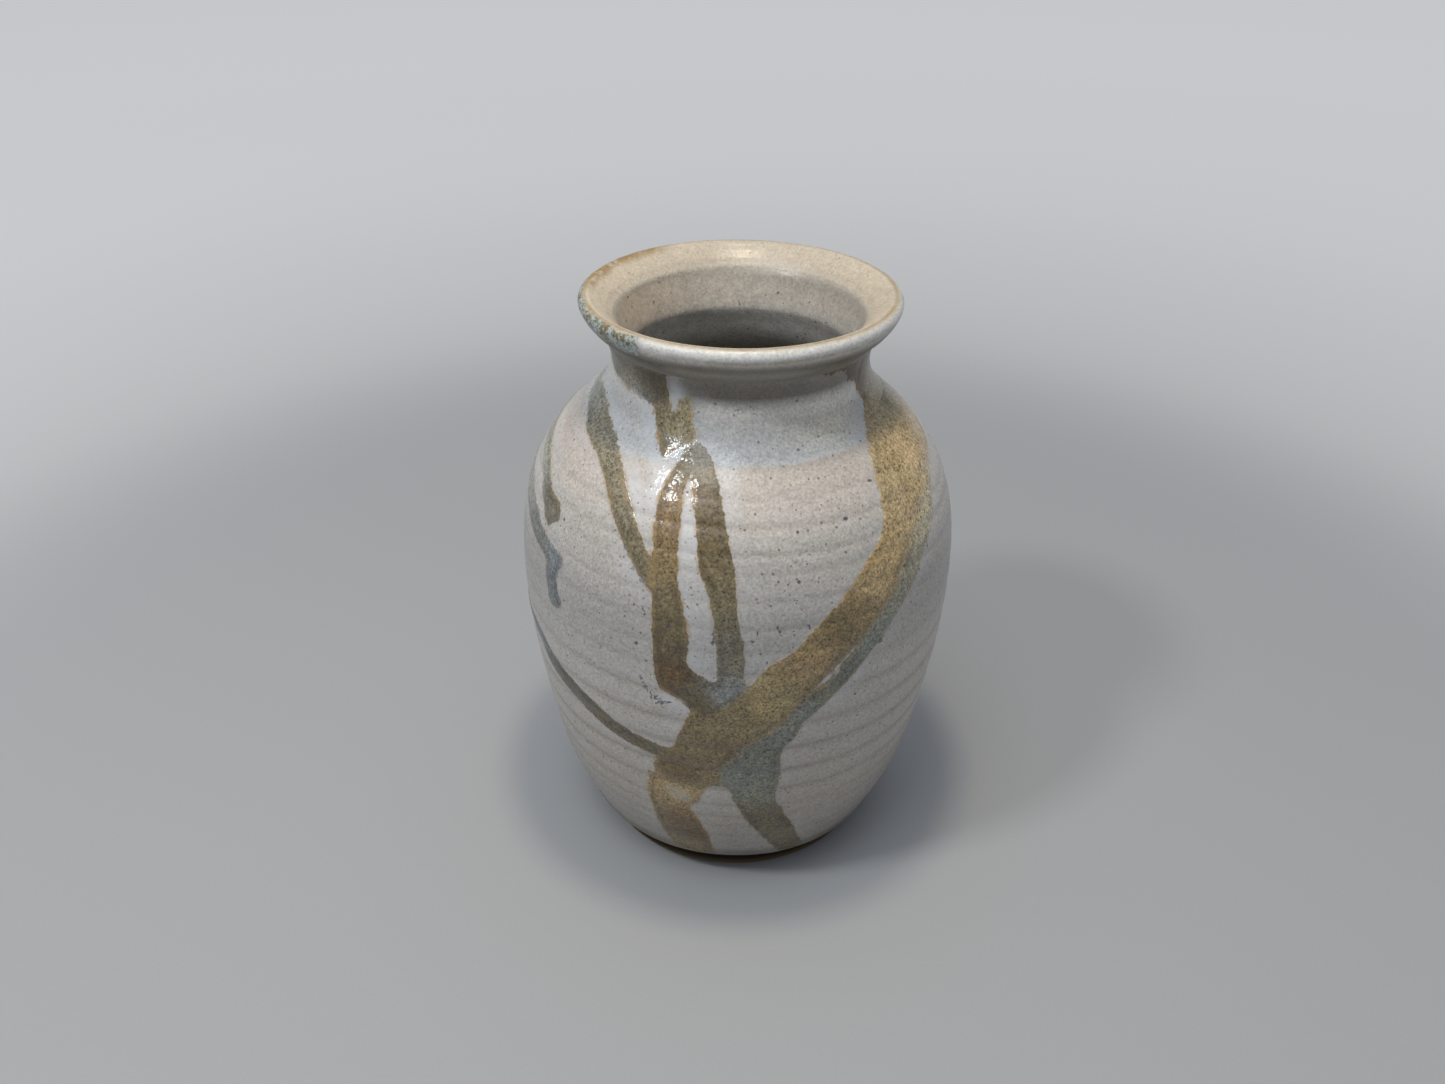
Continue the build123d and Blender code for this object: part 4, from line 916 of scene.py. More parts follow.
def line_distance(lines, reach=7.0):
    out = np.full(shape, reach)
    for line in lines:
        pts = np.array(line, float)
        t, s = np.radians(pts[:, 0]), arc_of_z(pts[:, 1])
        near = (sec == 1) & (SS > s.min() - reach) & (SS < s.max() + reach)
        near &= (TH > t.min() - reach / 40) & (TH < t.max() + reach / 40)
        idx = np.nonzero(near.ravel())[0]
        tv, sv, rv = TH.ravel()[idx], SS.ravel()[idx], RR.ravel()[idx]
        best = np.full(len(idx), reach ** 2)
        for k in range(len(pts) - 1):
            ax, ay = (t[k] - tv) * rv, s[k] - sv
            ex, ey = (t[k + 1] - t[k]) * rv, s[k + 1] - s[k]
            q = np.clip(-(ax * ex + ay * ey) / (ex * ex + ey * ey + 1e-9), 0, 1)
            best = np.minimum(best, (ax + q * ex) ** 2 + (ay + q * ey) ** 2)
        flat = out.ravel()
        flat[idx] = np.minimum(flat[idx], np.sqrt(best))
        out = flat.reshape(shape)
    return out


SCUFF = line_distance(SCUFF_LINES)
seam = np.exp(-((line_distance(SEAM_LINES) + 0.35 * fbm(P0, 3.0, 59, 2).reshape(shape)) / 0.75) ** 2)
trail_col = trail_col * (1 - 0.42 * seam[..., None]) + np.array([0.235, 0.150, 0.055]) * 0.42 * seam[..., None]

# rim and inside
s_c = SS - arc_crest                                    # + is inwards of the crest
rim_out = along(RIM_OUT, s_c)
n_rim = fbm(P0, 6.0, 61, 3).reshape(shape)
n_rim2 = fbm(P0, 1.6, 63, 2).reshape(shape)
n_th = fbm(P0 * np.array([1, 1, 0.4]), 22.0, 65, 3).reshape(shape)
rim_col = rim_out * (1 + 0.035 * n_rim + 0.03 * n_rim2 + 0.03 * n_th)[..., None]


def put(col, c, m):
    return col * (1 - m[..., None]) + np.array(c) * m[..., None]


def angle_window(a, b, softness):
    mid, half = (a + b) / 2, (b - a) / 2
    d = np.abs((TD - mid + 180.0) % 360.0 - 180.0)
    return 1 - sstep(half - softness, half + softness, d)


# the funnel inside the crest is lighter on the left, painted light, and darker at the back
rim_col = rim_col * np.where(s_c > 0.4, 1 + 0.20 * np.exp(-(((TD + 95.0 + 180.0) % 360.0 - 180.0) / 55.0) ** 2) - 0.16 * np.exp(-(((TD - 178.0 + 180.0) % 360.0 - 180.0) / 48.0) ** 2), 1.0)[..., None]
# painted highlight on the front of the lip face
rim_col = rim_col * (1 + 0.11 * np.exp(-((TD - 5.0) / 22.0) ** 2) * bell(s_c, -3.0, 1.6))[..., None]
# thin ochre line where the glaze breaks over the crest
line_pos = s_c + 0.25 * n_th + CREST_OFF
crest_w = bell(line_pos, 0.0, 0.55) * (0.35 + 0.65 * angle_window(-75, 112, 26)) * np.clip(0.75 + 0.5 * n_rim, 0, 1)
rim_col = put(rim_col, OCHRE_LINE, np.clip(crest_w, 0, 1) * 0.85)
# faint ochre lower edge of the outer lip
low_w = 0.75 * bell(s_c + 0.35 * n_th, -4.9, 0.6) * np.clip(0.65 + 0.9 * n_rim, 0, 1) * angle_window(-40, 80, 18)
rim_col = put(rim_col, OCHRE_LINE, np.clip(low_w, 0, 1) * 0.8)
# ochre smear over the crest at the back left
smear = angle_window(-147, -90, 8) * bell(s_c, 0.5 + 0.9 * n_rim, 2.3) * np.clip(0.95 + 0.9 * n_rim2 + 0.3 * n_rim, 0, 1)
rim_col = put(rim_col, RIM_SMEAR, np.clip(smear, 0, 1) * 0.95)
smear_b = angle_window(-96, -42, 8) * bell(s_c, -1.2 + 0.5 * n_rim, 0.9) * np.clip(0.6 + 0.8 * n_rim2, 0, 1)
rim_col = put(rim_col, RIM_SMEAR, np.clip(smear_b, 0, 1) * 0.8)
# mottled blue and olive patch over the outer lip on the left
lip_m = angle_window(-99, -36, 4) * sstep(-9.4, -7.2, s_c + 0.7 * n_rim) * (1 - sstep(-1.9, -0.5, s_c + 1.3 * n_rim))
lip_m = np.clip(lip_m * (1.25 + 0.7 * n_rim), 0, 1)
mot_a = sstep(-0.02, 0.22, fbm(P0, 2.3, 91, 3).reshape(shape))
mot_b = sstep(0.04, 0.28, fbm(P0 * np.array([1, 1, 0.7]), 1.7, 93, 2).reshape(shape))
lip_c = np.array(RIM_BLUE) * (1 - mot_a[..., None]) + np.array(RIM_OLIVE) * mot_a[..., None]
lip_c = lip_c * (1 - 0.62 * mot_b[..., None]) * (1 + 0.5 * n_rim2[..., None])
rim_col = rim_col * (1 - lip_m[..., None]) + lip_c * lip_m[..., None]
lip_low = angle_window(-99, -34, 5) * bell(s_c + 0.5 * n_rim, -7.6, 1.1) * np.clip(0.85 + 0.7 * n_rim2, 0, 1)
rim_col = put(rim_col, (0.085, 0.095, 0.120), np.clip(lip_low, 0, 1) * 0.75)
lip_m = lip_m * (1 - 0.7 * np.clip(lip_low, 0, 1))
# brown wash below the lip where the neck trails start, darkened further as painted shade under the overhanging lip
wash_and_shade = np.maximum(angle_window(-80, -26, 6), 0.92 * angle_window(26, 72, 9)) * (1 - sstep(-10.0, -8.0, s_c + 0.9 * n_rim))
wash_shade_col = np.array([0.080, 0.062, 0.030]) * (1 - 0.55 * bell(TD, -36.0, 14.0)[..., None])
wash_shade_mask = (np.clip(wash_and_shade * (0.95 + 0.5 * n_rim2), 0, 1) * 0.94)[..., None]
rim_col = rim_col * (1 - wash_shade_mask) + wash_shade_col * wash_shade_mask
# inside of the neck and belly: painted shade on the right inside wall, warmer and lighter towards the left near the
# throat
near_in = sstep(176.0, 181.0, ZZ)[..., None]
side_shade_in = 1 - 0.20 * np.exp(-(((TD - 115.0 + 180.0) % 360.0 - 180.0) / 62.0) ** 2) - 0.12 * np.exp(-((TD - 78.0) / 34.0) ** 2) * (1 - sstep(181.0, 186.0, ZZ))
warm_in = 1 + np.exp(-((TD + 98.0) / 52.0) ** 2)[..., None] * near_in * np.array([0.22, 0.11, 0.01])
liner_col = along(LINER, ZZ) * side_shade_in[..., None] * warm_in * (1 + 0.05 * n_th + 0.03 * n_rim + 0.04 * fbm(P0, 18.0, 71, 2).reshape(shape))[..., None]
col_rows = np.where((sec == 3)[..., None], liner_col, rim_col)
# dip colour carries on up to the rim's underside
k_up = sstep(187.0, 193.5, ZZ) * (sec == 2) + (sec == 3)
coat_dip = coat_dip * (1 - k_up[..., None]) + col_rows * k_up[..., None]
ddip = np.where(sec >= 2, 8.0, ddip)

# clay foot, with painted shade in the recess under the glaze edge
n_foot = fbm(P0 * np.array([1, 1, 0.5]), 12.0, 81, 3).reshape(shape)
clay = along(CLAY, np.where(RR > 47.0, ZZ, 12.0)) * (1 + 0.16 * n_foot)[..., None]

print("skin", POS.shape, "rings", len(gz))

# =====================================================================================
# Split the skin into pieces that share their border vertices
# =====================================================================================
def face_mean(a):
    b = 0.25 * (a[:-1] + a[1:])
    return b + np.roll(b, -1, axis=1)


fz, fd = face_mean(ZZ), {k: face_mean(v) for k, v in dist.items()}
fdip = face_mean(ddip)
frow = np.broadcast_to(np.arange(R_ - 1)[:, None], (R_ - 1, C_))
ftd = (np.arange(C_) + 0.5) / C_ * 360.0 - 180.0
ftd = np.broadcast_to(ftd, (R_ - 1, C_))
label = np.full((R_ - 1, C_), "", dtype=object)
is_foot = frow < i_glaze
is_body = (frow >= i_glaze) & (frow < i_neck)
is_rim = (frow >= i_neck) & (frow < i_throat)
is_in = frow >= i_throat
label[is_foot] = "foot_clay"
q = np.floor((ftd + 45.0) / 90.0)
quad = {0: "front", 1: "right", 2: "back", -1: "left", -2: "back"}
for k, word in quad.items():
    m = is_body & (q == k)
    label[m & (fz > 92.0) & (fdip <= 0)] = "coat_upper_" + word
    label[m & (fz <= 92.0)] = "coat_lower_" + word
    label[m & (fdip > 0)] = "dip_collar"
lip = frow < i_crest + 5
label[is_rim & lip] = "rim_lip"
label[is_rim & ~lip] = "rim_funnel"
label[is_in & (fz > 168.0)] = "liner_neck"
label[is_in & (fz <= 168.0) & (fz > 88.0)] = "liner_upper"
label[is_in & (fz <= 88.0) & (fz > 14.0)] = "liner_lower"
label[is_in & (fz <= 14.0)] = "liner_floor"
best = np.full((R_ - 1, C_), 0.0)
for name, outline, holes, node, slot in TRAILS:
    ok = (is_rim if name == "rim_left" else is_body) & (fd[name] > best)
    label[ok] = "run_" + name
    best = np.where(ok, fd[name], best)

VERTS = POS.reshape(-1, 3) / 1000.0
NORMS = NOR.reshape(-1, 3)
ATTR = {
    "dt": D_ALL.reshape(-1), "ddip": ddip.reshape(-1), "halo": HALO.reshape(-1), "fringe": FRINGE.reshape(-1),
    "scuff": SCUFF.reshape(-1), "lip": lip_m.reshape(-1), "groove": (groove * depth * in_body * (1 + 0.5 * lowmod) * (1 - 0.55 * sstep(96.0, 124.0, ZZ))).reshape(-1),
}
COLR = {"col_low": coat_low, "col_dip": coat_dip, "col_run": trail_col}
clay_flat = clay.reshape(-1, 3)


def make_piece(name, mask, extra=None):
    i, j = np.nonzero(mask)
    j2 = (j + 1) % C_
    quads = np.stack([i * C_ + j, i * C_ + j2, (i + 1) * C_ + j2, (i + 1) * C_ + j], 1)
    tris = extra
    used = np.unique(quads)
    remap = np.full(R_ * C_ + 2, -1)
    remap[used] = np.arange(len(used))
    verts, norms = VERTS[used], NORMS[used]
    polys = remap[quads]
    loops = polys.reshape(-1)
    starts = np.arange(len(polys)) * 4
    totals = np.full(len(polys), 4)
    attr = {k: v[used] for k, v in ATTR.items()}
    cols = {k: v.reshape(-1, 3)[used] for k, v in COLR.items()}
    if name == "foot_clay":
        cols = {"col_low": clay_flat[used]}
        attr = {}
    if tris is not None:
        row, pole, normal = tris
        ring = remap[row * C_ + np.arange(C_)]
        verts = np.vstack([verts, pole]); norms = np.vstack([norms, normal])
        c = len(used)
        nxt = np.roll(ring, -1)
        t = np.stack([ring, np.full(C_, c), nxt], 1) if row else np.stack([np.full(C_, c), nxt, ring], 1)
        if row:
            t = np.stack([ring, nxt, np.full(C_, c)], 1)
        loops = np.concatenate([loops, t.reshape(-1)])
        starts = np.concatenate([starts, len(polys) * 4 + np.arange(C_) * 3])
        totals = np.concatenate([totals, np.full(C_, 3)])
        attr = {k: np.append(v, v[ring].mean()) for k, v in attr.items()}
        cols = {k: np.vstack([v, v[ring].mean(0)]) for k, v in cols.items()}
    me = bpy.data.meshes.new(name)
    me.vertices.add(len(verts)); me.vertices.foreach_set("co", verts.astype(np.float32).ravel())
    me.loops.add(len(loops)); me.loops.foreach_set("vertex_index", loops.astype(np.int32))
    me.polygons.add(len(starts)); me.polygons.foreach_set("loop_start", starts.astype(np.int32))
    me.polygons.foreach_set("loop_total", totals.astype(np.int32))
    me.update(calc_edges=True)
    me.validate()
    me.polygons.foreach_set("use_smooth", np.ones(len(starts), bool))
    for k, v in attr.items():
        a = me.attributes.new(k, "FLOAT", "POINT")
        a.data.foreach_set("value", v.astype(np.float32))
    for k, v in cols.items():
        a = me.attributes.new(k, "FLOAT_COLOR", "POINT")
        rgba = np.concatenate([np.clip(v, 0.004, 0.95), np.ones((len(v), 1))], 1)
        a.data.foreach_set("color", rgba.astype(np.float32).ravel())
    me.normals_split_custom_set_from_vertices([tuple(n) for n in norms])
    ob = bpy.data.objects.new(name, me)
    bpy.context.scene.collection.objects.link(ob)
    return ob


# =====================================================================================
# Materials
# =====================================================================================
class Graph:
    def __init__(self, name):
        self.mat = bpy.data.materials.new(name)
        self.mat.use_nodes = True
        self.t = self.mat.node_tree
        self.t.nodes.clear()
        self.out = self.t.nodes.new("ShaderNodeOutputMaterial")
        self.bsdf = self.t.nodes.new("ShaderNodeBsdfPrincipled")
        self.t.links.new(self.bsdf.outputs["BSDF"], self.out.inputs["Surface"])
        tc = self.t.nodes.new("ShaderNodeTexCoord")
        sc = self.t.nodes.new("ShaderNodeVectorMath"); sc.operation = "SCALE"
        sc.inputs["Scale"].default_value = 1000.0
        self.t.links.new(tc.outputs["Object"], sc.inputs[0])
        self.mm = sc.outputs["Vector"]                 # position in mm

    def put(self, sock, v):
        if isinstance(v, bpy.types.NodeSocket):
            self.t.links.new(v, sock)
        elif isinstance(v, (tuple, list)):
            sock.default_value = tuple(v) + (1.0,) if len(v) == 3 and sock.type == "RGBA" else tuple(v)
        else:
            sock.default_value = v

    def attr(self, name, colour=False):
        n = self.t.nodes.new("ShaderNodeAttribute"); n.attribute_name = name
        return n.outputs["Color" if colour else "Fac"]

    def m(self, op, a, b=0.0, c=0.0, clamp=False):
        n = self.t.nodes.new("ShaderNodeMath"); n.operation = op; n.use_clamp = clamp
        self.put(n.inputs[0], a)
        if len(n.inputs) > 1:
            self.put(n.inputs[1], b)
        if len(n.inputs) > 2:
            self.put(n.inputs[2], c)
        return n.outputs[0]

    def ramp(self, x, a, b, lo=0.0, hi=1.0):
        n = self.t.nodes.new("ShaderNodeMapRange"); n.interpolation_type = "SMOOTHSTEP"
        self.put(n.inputs["Value"], x)
        n.inputs["From Min"].default_value = a; n.inputs["From Max"].default_value = b
        n.inputs["To Min"].default_value = lo; n.inputs["To Max"].default_value = hi
        return n.outputs["Result"]

    def mix(self, f, a, b, kind="MIX"):
        n = self.t.nodes.new("ShaderNodeMix"); n.data_type = "RGBA"; n.blend_type = kind
        n.clamp_factor = True
        self.put(n.inputs[0], f); self.put(n.inputs[6], a); self.put(n.inputs[7], b)
        return n.outputs[2]

    def noise(self, size, detail=2.0, rough=0.5, stretch=None, offset=(0, 0, 0), distortion=0.0):
        v = self.mm
        n0 = self.t.nodes.new("ShaderNodeMapping")
        self.t.links.new(v, n0.inputs["Vector"])
        s = stretch or (1, 1, 1)
        n0.inputs["Scale"].default_value = s
        n0.inputs["Location"].default_value = offset
        n = self.t.nodes.new("ShaderNodeTexNoise"); n.noise_dimensions = "3D"
        self.t.links.new(n0.outputs["Vector"], n.inputs["Vector"])
        n.inputs["Scale"].default_value = 1.0 / size
        n.inputs["Detail"].default_value = detail
        n.inputs["Roughness"].default_value = rough
        n.inputs["Distortion"].default_value = distortion
        return n.outputs["Fac"]

    def cells(self, size, offset=(0, 0, 0), warp=0.0, stretch=(1, 1, 1)):
        """Distance in mm to scattered points, and a random number of each point."""
        n0 = self.t.nodes.new("ShaderNodeMapping")
        self.t.links.new(self.mm, n0.inputs["Vector"])
        n0.inputs["Location"].default_value = offset
        n0.inputs["Scale"].default_value = stretch
        n = self.t.nodes.new("ShaderNodeTexVoronoi"); n.voronoi_dimensions = "3D"; n.feature = "F1"
        n.inputs["Scale"].default_value = 1.0 / size
        n.inputs["Randomness"].default_value = 1.0
        self.t.links.new(n0.outputs["Vector"], n.inputs["Vector"])
        d = self.m("MULTIPLY", n.outputs["Distance"], size)
        sep = self.t.nodes.new("ShaderNodeSeparateColor")
        self.t.links.new(n.outputs["Color"], sep.inputs["Color"])
        return d, sep.outputs["Red"], sep.outputs["Green"]

    def specks(self, size, share, r0, r1, offset=(0, 0, 0), edge=0.12, wob=None, stretch=(1, 1, 1)):
        """Scattered round-ish specks: share of the cells have one, of radius r0..r1 mm."""
        d, a, b = self.cells(size, offset, stretch=stretch)
        if wob is not None:
            d = self.m("ADD", d, wob)
        r = self.m("MULTIPLY_ADD", b, r1 - r0, r0)
        inner = self.m("SUBTRACT", r, d)
        k = self.ramp(inner, -edge, edge)
        on = self.m("LESS_THAN", a, share)
        return self.m("MULTIPLY", k, on)

    def spot(self, at, radius, edge, wob=None, flat=(1, 1, 1)):
        n = self.t.nodes.new("ShaderNodeVectorMath"); n.operation = "SUBTRACT"
        self.t.links.new(self.mm, n.inputs[0]); n.inputs[1].default_value = at
        o = n.outputs["Vector"]
        if flat != (1, 1, 1):
            q = self.t.nodes.new("ShaderNodeVectorMath"); q.operation = "MULTIPLY"
            self.t.links.new(o, q.inputs[0]); q.inputs[1].default_value = flat
            o = q.outputs["Vector"]
        L = self.t.nodes.new("ShaderNodeVectorMath"); L.operation = "LENGTH"
        self.t.links.new(o, L.inputs[0])
        d = L.outputs["Value"]
        if wob is not None:
            d = self.m("ADD", d, wob)
        return self.ramp(d, radius - edge, radius + edge, 1.0, 0.0)

    def finish(self, colour, rough, height, spec=0.5, coat=0.0, coat_rough=0.2, bump=1.0):
        b = self.bsdf
        self.put(b.inputs["Base Color"], colour)
        self.put(b.inputs["Roughness"], rough)
        b.inputs["Specular IOR Level"].default_value = spec
        b.inputs["IOR"].default_value = 1.5
        b.inputs["Coat Weight"].default_value = coat
        b.inputs["Coat Roughness"].default_value = coat_rough
        if height is not None:
            n = self.t.nodes.new("ShaderNodeBump")
            n.inputs["Strength"].default_value = bump
            n.inputs["Distance"].default_value = 0.001
            self.put(n.inputs["Height"], height)
            self.t.links.new(n.outputs["Normal"], b.inputs["Normal"])
            self.t.links.new(n.outputs["Normal"], b.inputs["Coat Normal"])
        return self.mat


def scale_colour(g, colour, factor):
    """Colour times one number."""
    n = g.t.nodes.new("ShaderNodeVectorMath"); n.operation = "SCALE"
    g.put(n.inputs[0], colour); g.put(n.inputs["Scale"], factor)
    return n.outputs["Vector"]


def on_skin(t_deg, z):
    t = math.radians(t_deg)
    r = float(np.interp(z, rows[i_glaze:i_neck, 1], rows[i_glaze:i_neck, 0]))
    return (r * math.sin(t), -r * math.cos(t), z)


def outer_glaze(name, lively):
    """Satin glaze of the outside: pale coat, bluish dip above its line, poured trails, specks."""
    g = Graph(name)
    low, dip, run = g.attr("col_low", True), g.attr("col_dip", True), g.attr("col_run", True)
    dt, ddip_, halo, fringe, scuff, groove_ = (g.attr(k) for k in ("dt", "ddip", "halo", "fringe", "scuff", "groove"))
    n_fine = g.noise(0.85, 2.0, 0.62)
    n_small = g.noise(1.6, 2.0, 0.55, offset=(3, 1, 7))
    n_mid = g.noise(3.4, 3.0, 0.55, offset=(9, 4, 2))
    n_big = g.noise(11.0, 3.0, 0.5, offset=(1, 8, 5))
    drag = g.noise(1.6, 2.0, 0.6, stretch=(1, 1, 0.35), offset=(4, 4, 4))
    # pale coat under and over the dip line
    wob = g.m("MULTIPLY_ADD", n_mid, 1.6, -0.8)
    over = g.ramp(g.m("ADD", ddip_, wob), -0.5, 0.6)
    base = g.mix(over, low, dip)
    grain = g.m("ADD", g.m("MULTIPLY", n_fine, 1.12), g.m("MULTIPLY", n_small, 0.30))
    grain = g.m("ADD", grain, g.m("MULTIPLY", n_mid, 0.20))
    grain = g.m("ADD", grain, 1.0 - 0.79)
    base = scale_colour(g, base, grain)
    base = g.mix(g.m("MULTIPLY", groove_, GROOVE_TINT), scale_colour(g, base, 1.05), g.mix(1.0, base, (0.50, 0.40, 0.33), "MULTIPLY"))
    # opal halo beside the trails
    hd = g.m("ADD", dt, g.m("MULTIPLY_ADD", n_mid, 3.0, -1.5))
    hm = g.m("MULTIPLY", g.ramp(hd, -8.5, -1.2), halo)
    base = g.mix(hm, base, g.mix(over, HALO_LOW, HALO_DIP))
    # iron specks in the pale coat
    w1 = g.m("MULTIPLY_ADD", n_small, 0.36, -0.18)
    s_a = g.specks(0.95, 0.50, 0.14, 0.31, edge=0.10, wob=w1)
    s_d = g.specks(1.8, 0.60, 0.18, 0.37, offset=(3, 8, 2), edge=0.10, wob=w1)
    s_b = g.specks(2.7, 0.52, 0.20, 0.44, offset=(7, 3, 5), edge=0.10, wob=w1)
    s_c_ = g.specks(6.5, 0.30, 0.28, 0.56, offset=(2, 9, 4), edge=0.12, wob=w1)
    thick = g.ramp(n_big, 0.36, 0.64, 0.30, 1.0)
    base = g.mix(g.m("MULTIPLY", g.m("MULTIPLY", s_a, thick), 0.44), base, (0.19, 0.145, 0.10))
    base = g.mix(g.m("MULTIPLY", g.m("MULTIPLY", s_d, thick), 0.82), base, (0.20, 0.115, 0.055))
    base = g.mix(g.m("MULTIPLY", s_b, 0.74), base, (0.10, 0.072, 0.050))
    base = g.mix(g.m("MULTIPLY", s_c_, 0.82), base, (0.055, 0.045, 0.042))
    # scuffed marks
    sc = g.m("ADD", scuff, g.m("MULTIPLY_ADD", n_fine, 2.6, -1.22))
    base = g.mix(g.m("MULTIPLY", g.ramp(sc, 0.62, 0.18), 0.85), base, (0.080, 0.080, 0.105))
    # trails
    rough_edge = g.m("ADD", g.m("MULTIPLY_ADD", n_small, 1.5, -0.75), g.m("MULTIPLY_ADD", n_mid, 1.5, -0.75))
    rough_edge = g.m("ADD", rough_edge, g.m("MULTIPLY_ADD", drag, 1.3, -0.65))
    comb = g.m("MULTIPLY_ADD", g.noise(0.95, 2.0, 0.6, stretch=(1, 1, 0.13), offset=(7, 1, 3)), 3.4, -1.7)
    rough_edge = g.m("ADD", rough_edge, g.m("MULTIPLY", comb, over))
    de = g.m("ADD", dt, g.m("MULTIPLY", rough_edge, 0.85))
    run_mask = g.ramp(de, -0.26, 0.26)
    run_grain = g.m("ADD", g.m("MULTIPLY", n_fine, 2.8), g.m("MULTIPLY", n_small, 1.10))
    run_grain = g.m("ADD", run_grain, g.m("MULTIPLY", n_mid, 0.60))
    run_grain = g.m("MAXIMUM", g.m("ADD", run_grain, 1.07 - 2.25), 0.20)
    # thicker, darker glaze pooled just inside the edges of a trail
    pool = g.m("MULTIPLY", g.ramp(dt, 0.3, 1.3), g.ramp(dt, 3.6, 1.6))
    pool = g.m("MULTIPLY", pool, g.ramp(n_big, 0.40, 0.62))
    run_grain = g.m("MULTIPLY", run_grain, g.m("MULTIPLY_ADD", pool, -0.30, 1.0))
    run_over = g.mix(over, run, g.mix(1.0, run, RUN_OVER_DIP, "MULTIPLY"))
    run_c = scale_colour(g, run_over, run_grain)
    t_a = g.specks(0.80, 0.55, 0.14, 0.30, offset=(5, 5, 1), edge=0.10, wob=w1)
    t_b = g.specks(1.9, 0.50, 0.18, 0.42, offset=(8, 2, 6), edge=0.10, wob=w1)
    t_c = g.specks(1.1, 0.40, 0.14, 0.30, offset=(1, 6, 3), edge=0.10, wob=w1)
    dark_run = scale_colour(g, run_over, 0.40)
    light_run = scale_colour(g, run_over, 1.7)
    run_c = g.mix(g.m("MULTIPLY", t_a, 0.78), run_c, dark_run)
    run_c = g.mix(g.m("MULTIPLY", t_c, 0.62), run_c, light_run)
    run_c = g.mix(g.m("MULTIPLY", t_b, 0.82), run_c, (0.050, 0.038, 0.024))
    # thin golden fringe where a trail thins out
    broken = g.ramp(g.noise(5.0, 2.0, 0.5, offset=(6, 2, 8)), 0.40, 0.60, 0.12, 1.0)
    fringe = g.m("MULTIPLY", fringe, broken)
    fr = g.m("MULTIPLY", g.ramp(de, -1.3, -0.25), g.ramp(de, 1.2, 0.1))
    base = g.mix(g.m("MULTIPLY", fr, fringe), base, FRINGE_COL)
    col = g.mix(run_mask, base, run_c)
    inner = g.m("MULTIPLY", g.ramp(de, 0.0, 0.5), g.ramp(de, 1.7, 0.7))
    col = g.mix(g.m("MULTIPLY", g.m("MULTIPLY", inner, fringe), 0.60), col, FRINGE_COL)
    # single marks
    for t, z, r, e, f, c, fl in SPOTS:
        m_ = g.spot(on_skin(t, z), r, e, wob=g.m("MULTIPLY_ADD", n_small, 1.1 * r, -0.55 * r), flat=fl)
        col = g.mix(g.m("MULTIPLY", m_, f), col, c)
    # surface
    rough = g.m("MULTIPLY_ADD", n_small, 0.16, lively)
    rough = g.m("ADD", rough, g.m("MULTIPLY", n_big, 0.10))
    rough = g.m("SUBTRACT", rough, g.m("MULTIPLY", run_mask, 0.03))
    peel = g.noise(2.1, 2.0, 0.45, offset=(2, 2, 2))
    hgt = g.m("MULTIPLY", peel, 0.15)
    hgt = g.m("ADD", hgt, g.m("MULTIPLY", n_fine, 0.045))
    hgt = g.m("ADD", hgt, g.m("MULTIPLY", n_small, 0.050))
    hgt = g.m("SUBTRACT", hgt, g.m("MULTIPLY", s_b, 0.030))
    hgt = g.m("ADD", hgt, g.m("MULTIPLY", run_mask, 0.05))
    return g.finish(col, rough, hgt, spec=0.45, coat=COAT_W, coat_rough=COAT_R, bump=1.0)


def inner_glaze(name, base_rough, speck):
    g = Graph(name)
    col = g.attr("col_dip", True)
    n_fine = g.noise(0.85, 2.0, 0.62)
    n_small = g.noise(1.4, 2.0, 0.55, offset=(3, 1, 7))
    n_mid = g.noise(4.2, 3.0, 0.55, offset=(9, 4, 2))
    grain = g.m("ADD", g.m("MULTIPLY", n_fine, 0.85), g.m("MULTIPLY", n_small, 0.45))
    grain = g.m("ADD", grain, g.m("MULTIPLY", n_mid, 0.45))
    grain = g.m("ADD", grain, 1.0 - 0.845)
    col = scale_colour(g, col, grain)
    w1 = g.m("MULTIPLY_ADD", n_fine, 0.24, -0.12)
    s_a = g.specks(1.1, 0.46, 0.14, 0.30, edge=0.10, wob=w1)
    s_b = g.specks(2.9, 0.50, 0.20, 0.52, offset=(7, 3, 5), edge=0.10, wob=w1)
    s_c_ = g.specks(6.0, 0.40, 0.35, 0.75, offset=(1, 4, 9), edge=0.12, wob=w1)
    col = g.mix(g.m("MULTIPLY", s_c_, 0.75 * speck), col, (0.06, 0.05, 0.042))
    col = g.mix(g.m("MULTIPLY", s_a, 0.34 * speck), col, (0.15, 0.11, 0.08))
    col = g.mix(g.m("MULTIPLY", s_b, 0.68 * speck), col, (0.09, 0.068, 0.048))
    rough = g.m("MULTIPLY_ADD", n_small, 0.16, base_rough)
    hgt = g.m("ADD", g.m("MULTIPLY", g.noise(2.3, 2.0, 0.45), 0.12), g.m("MULTIPLY", n_fine, 0.05))
    hgt = g.m("SUBTRACT", hgt, g.m("MULTIPLY", s_b, 0.03))
    return g.finish(col, rough, hgt, spec=0.5, coat=0.10, coat_rough=0.22, bump=1.0)


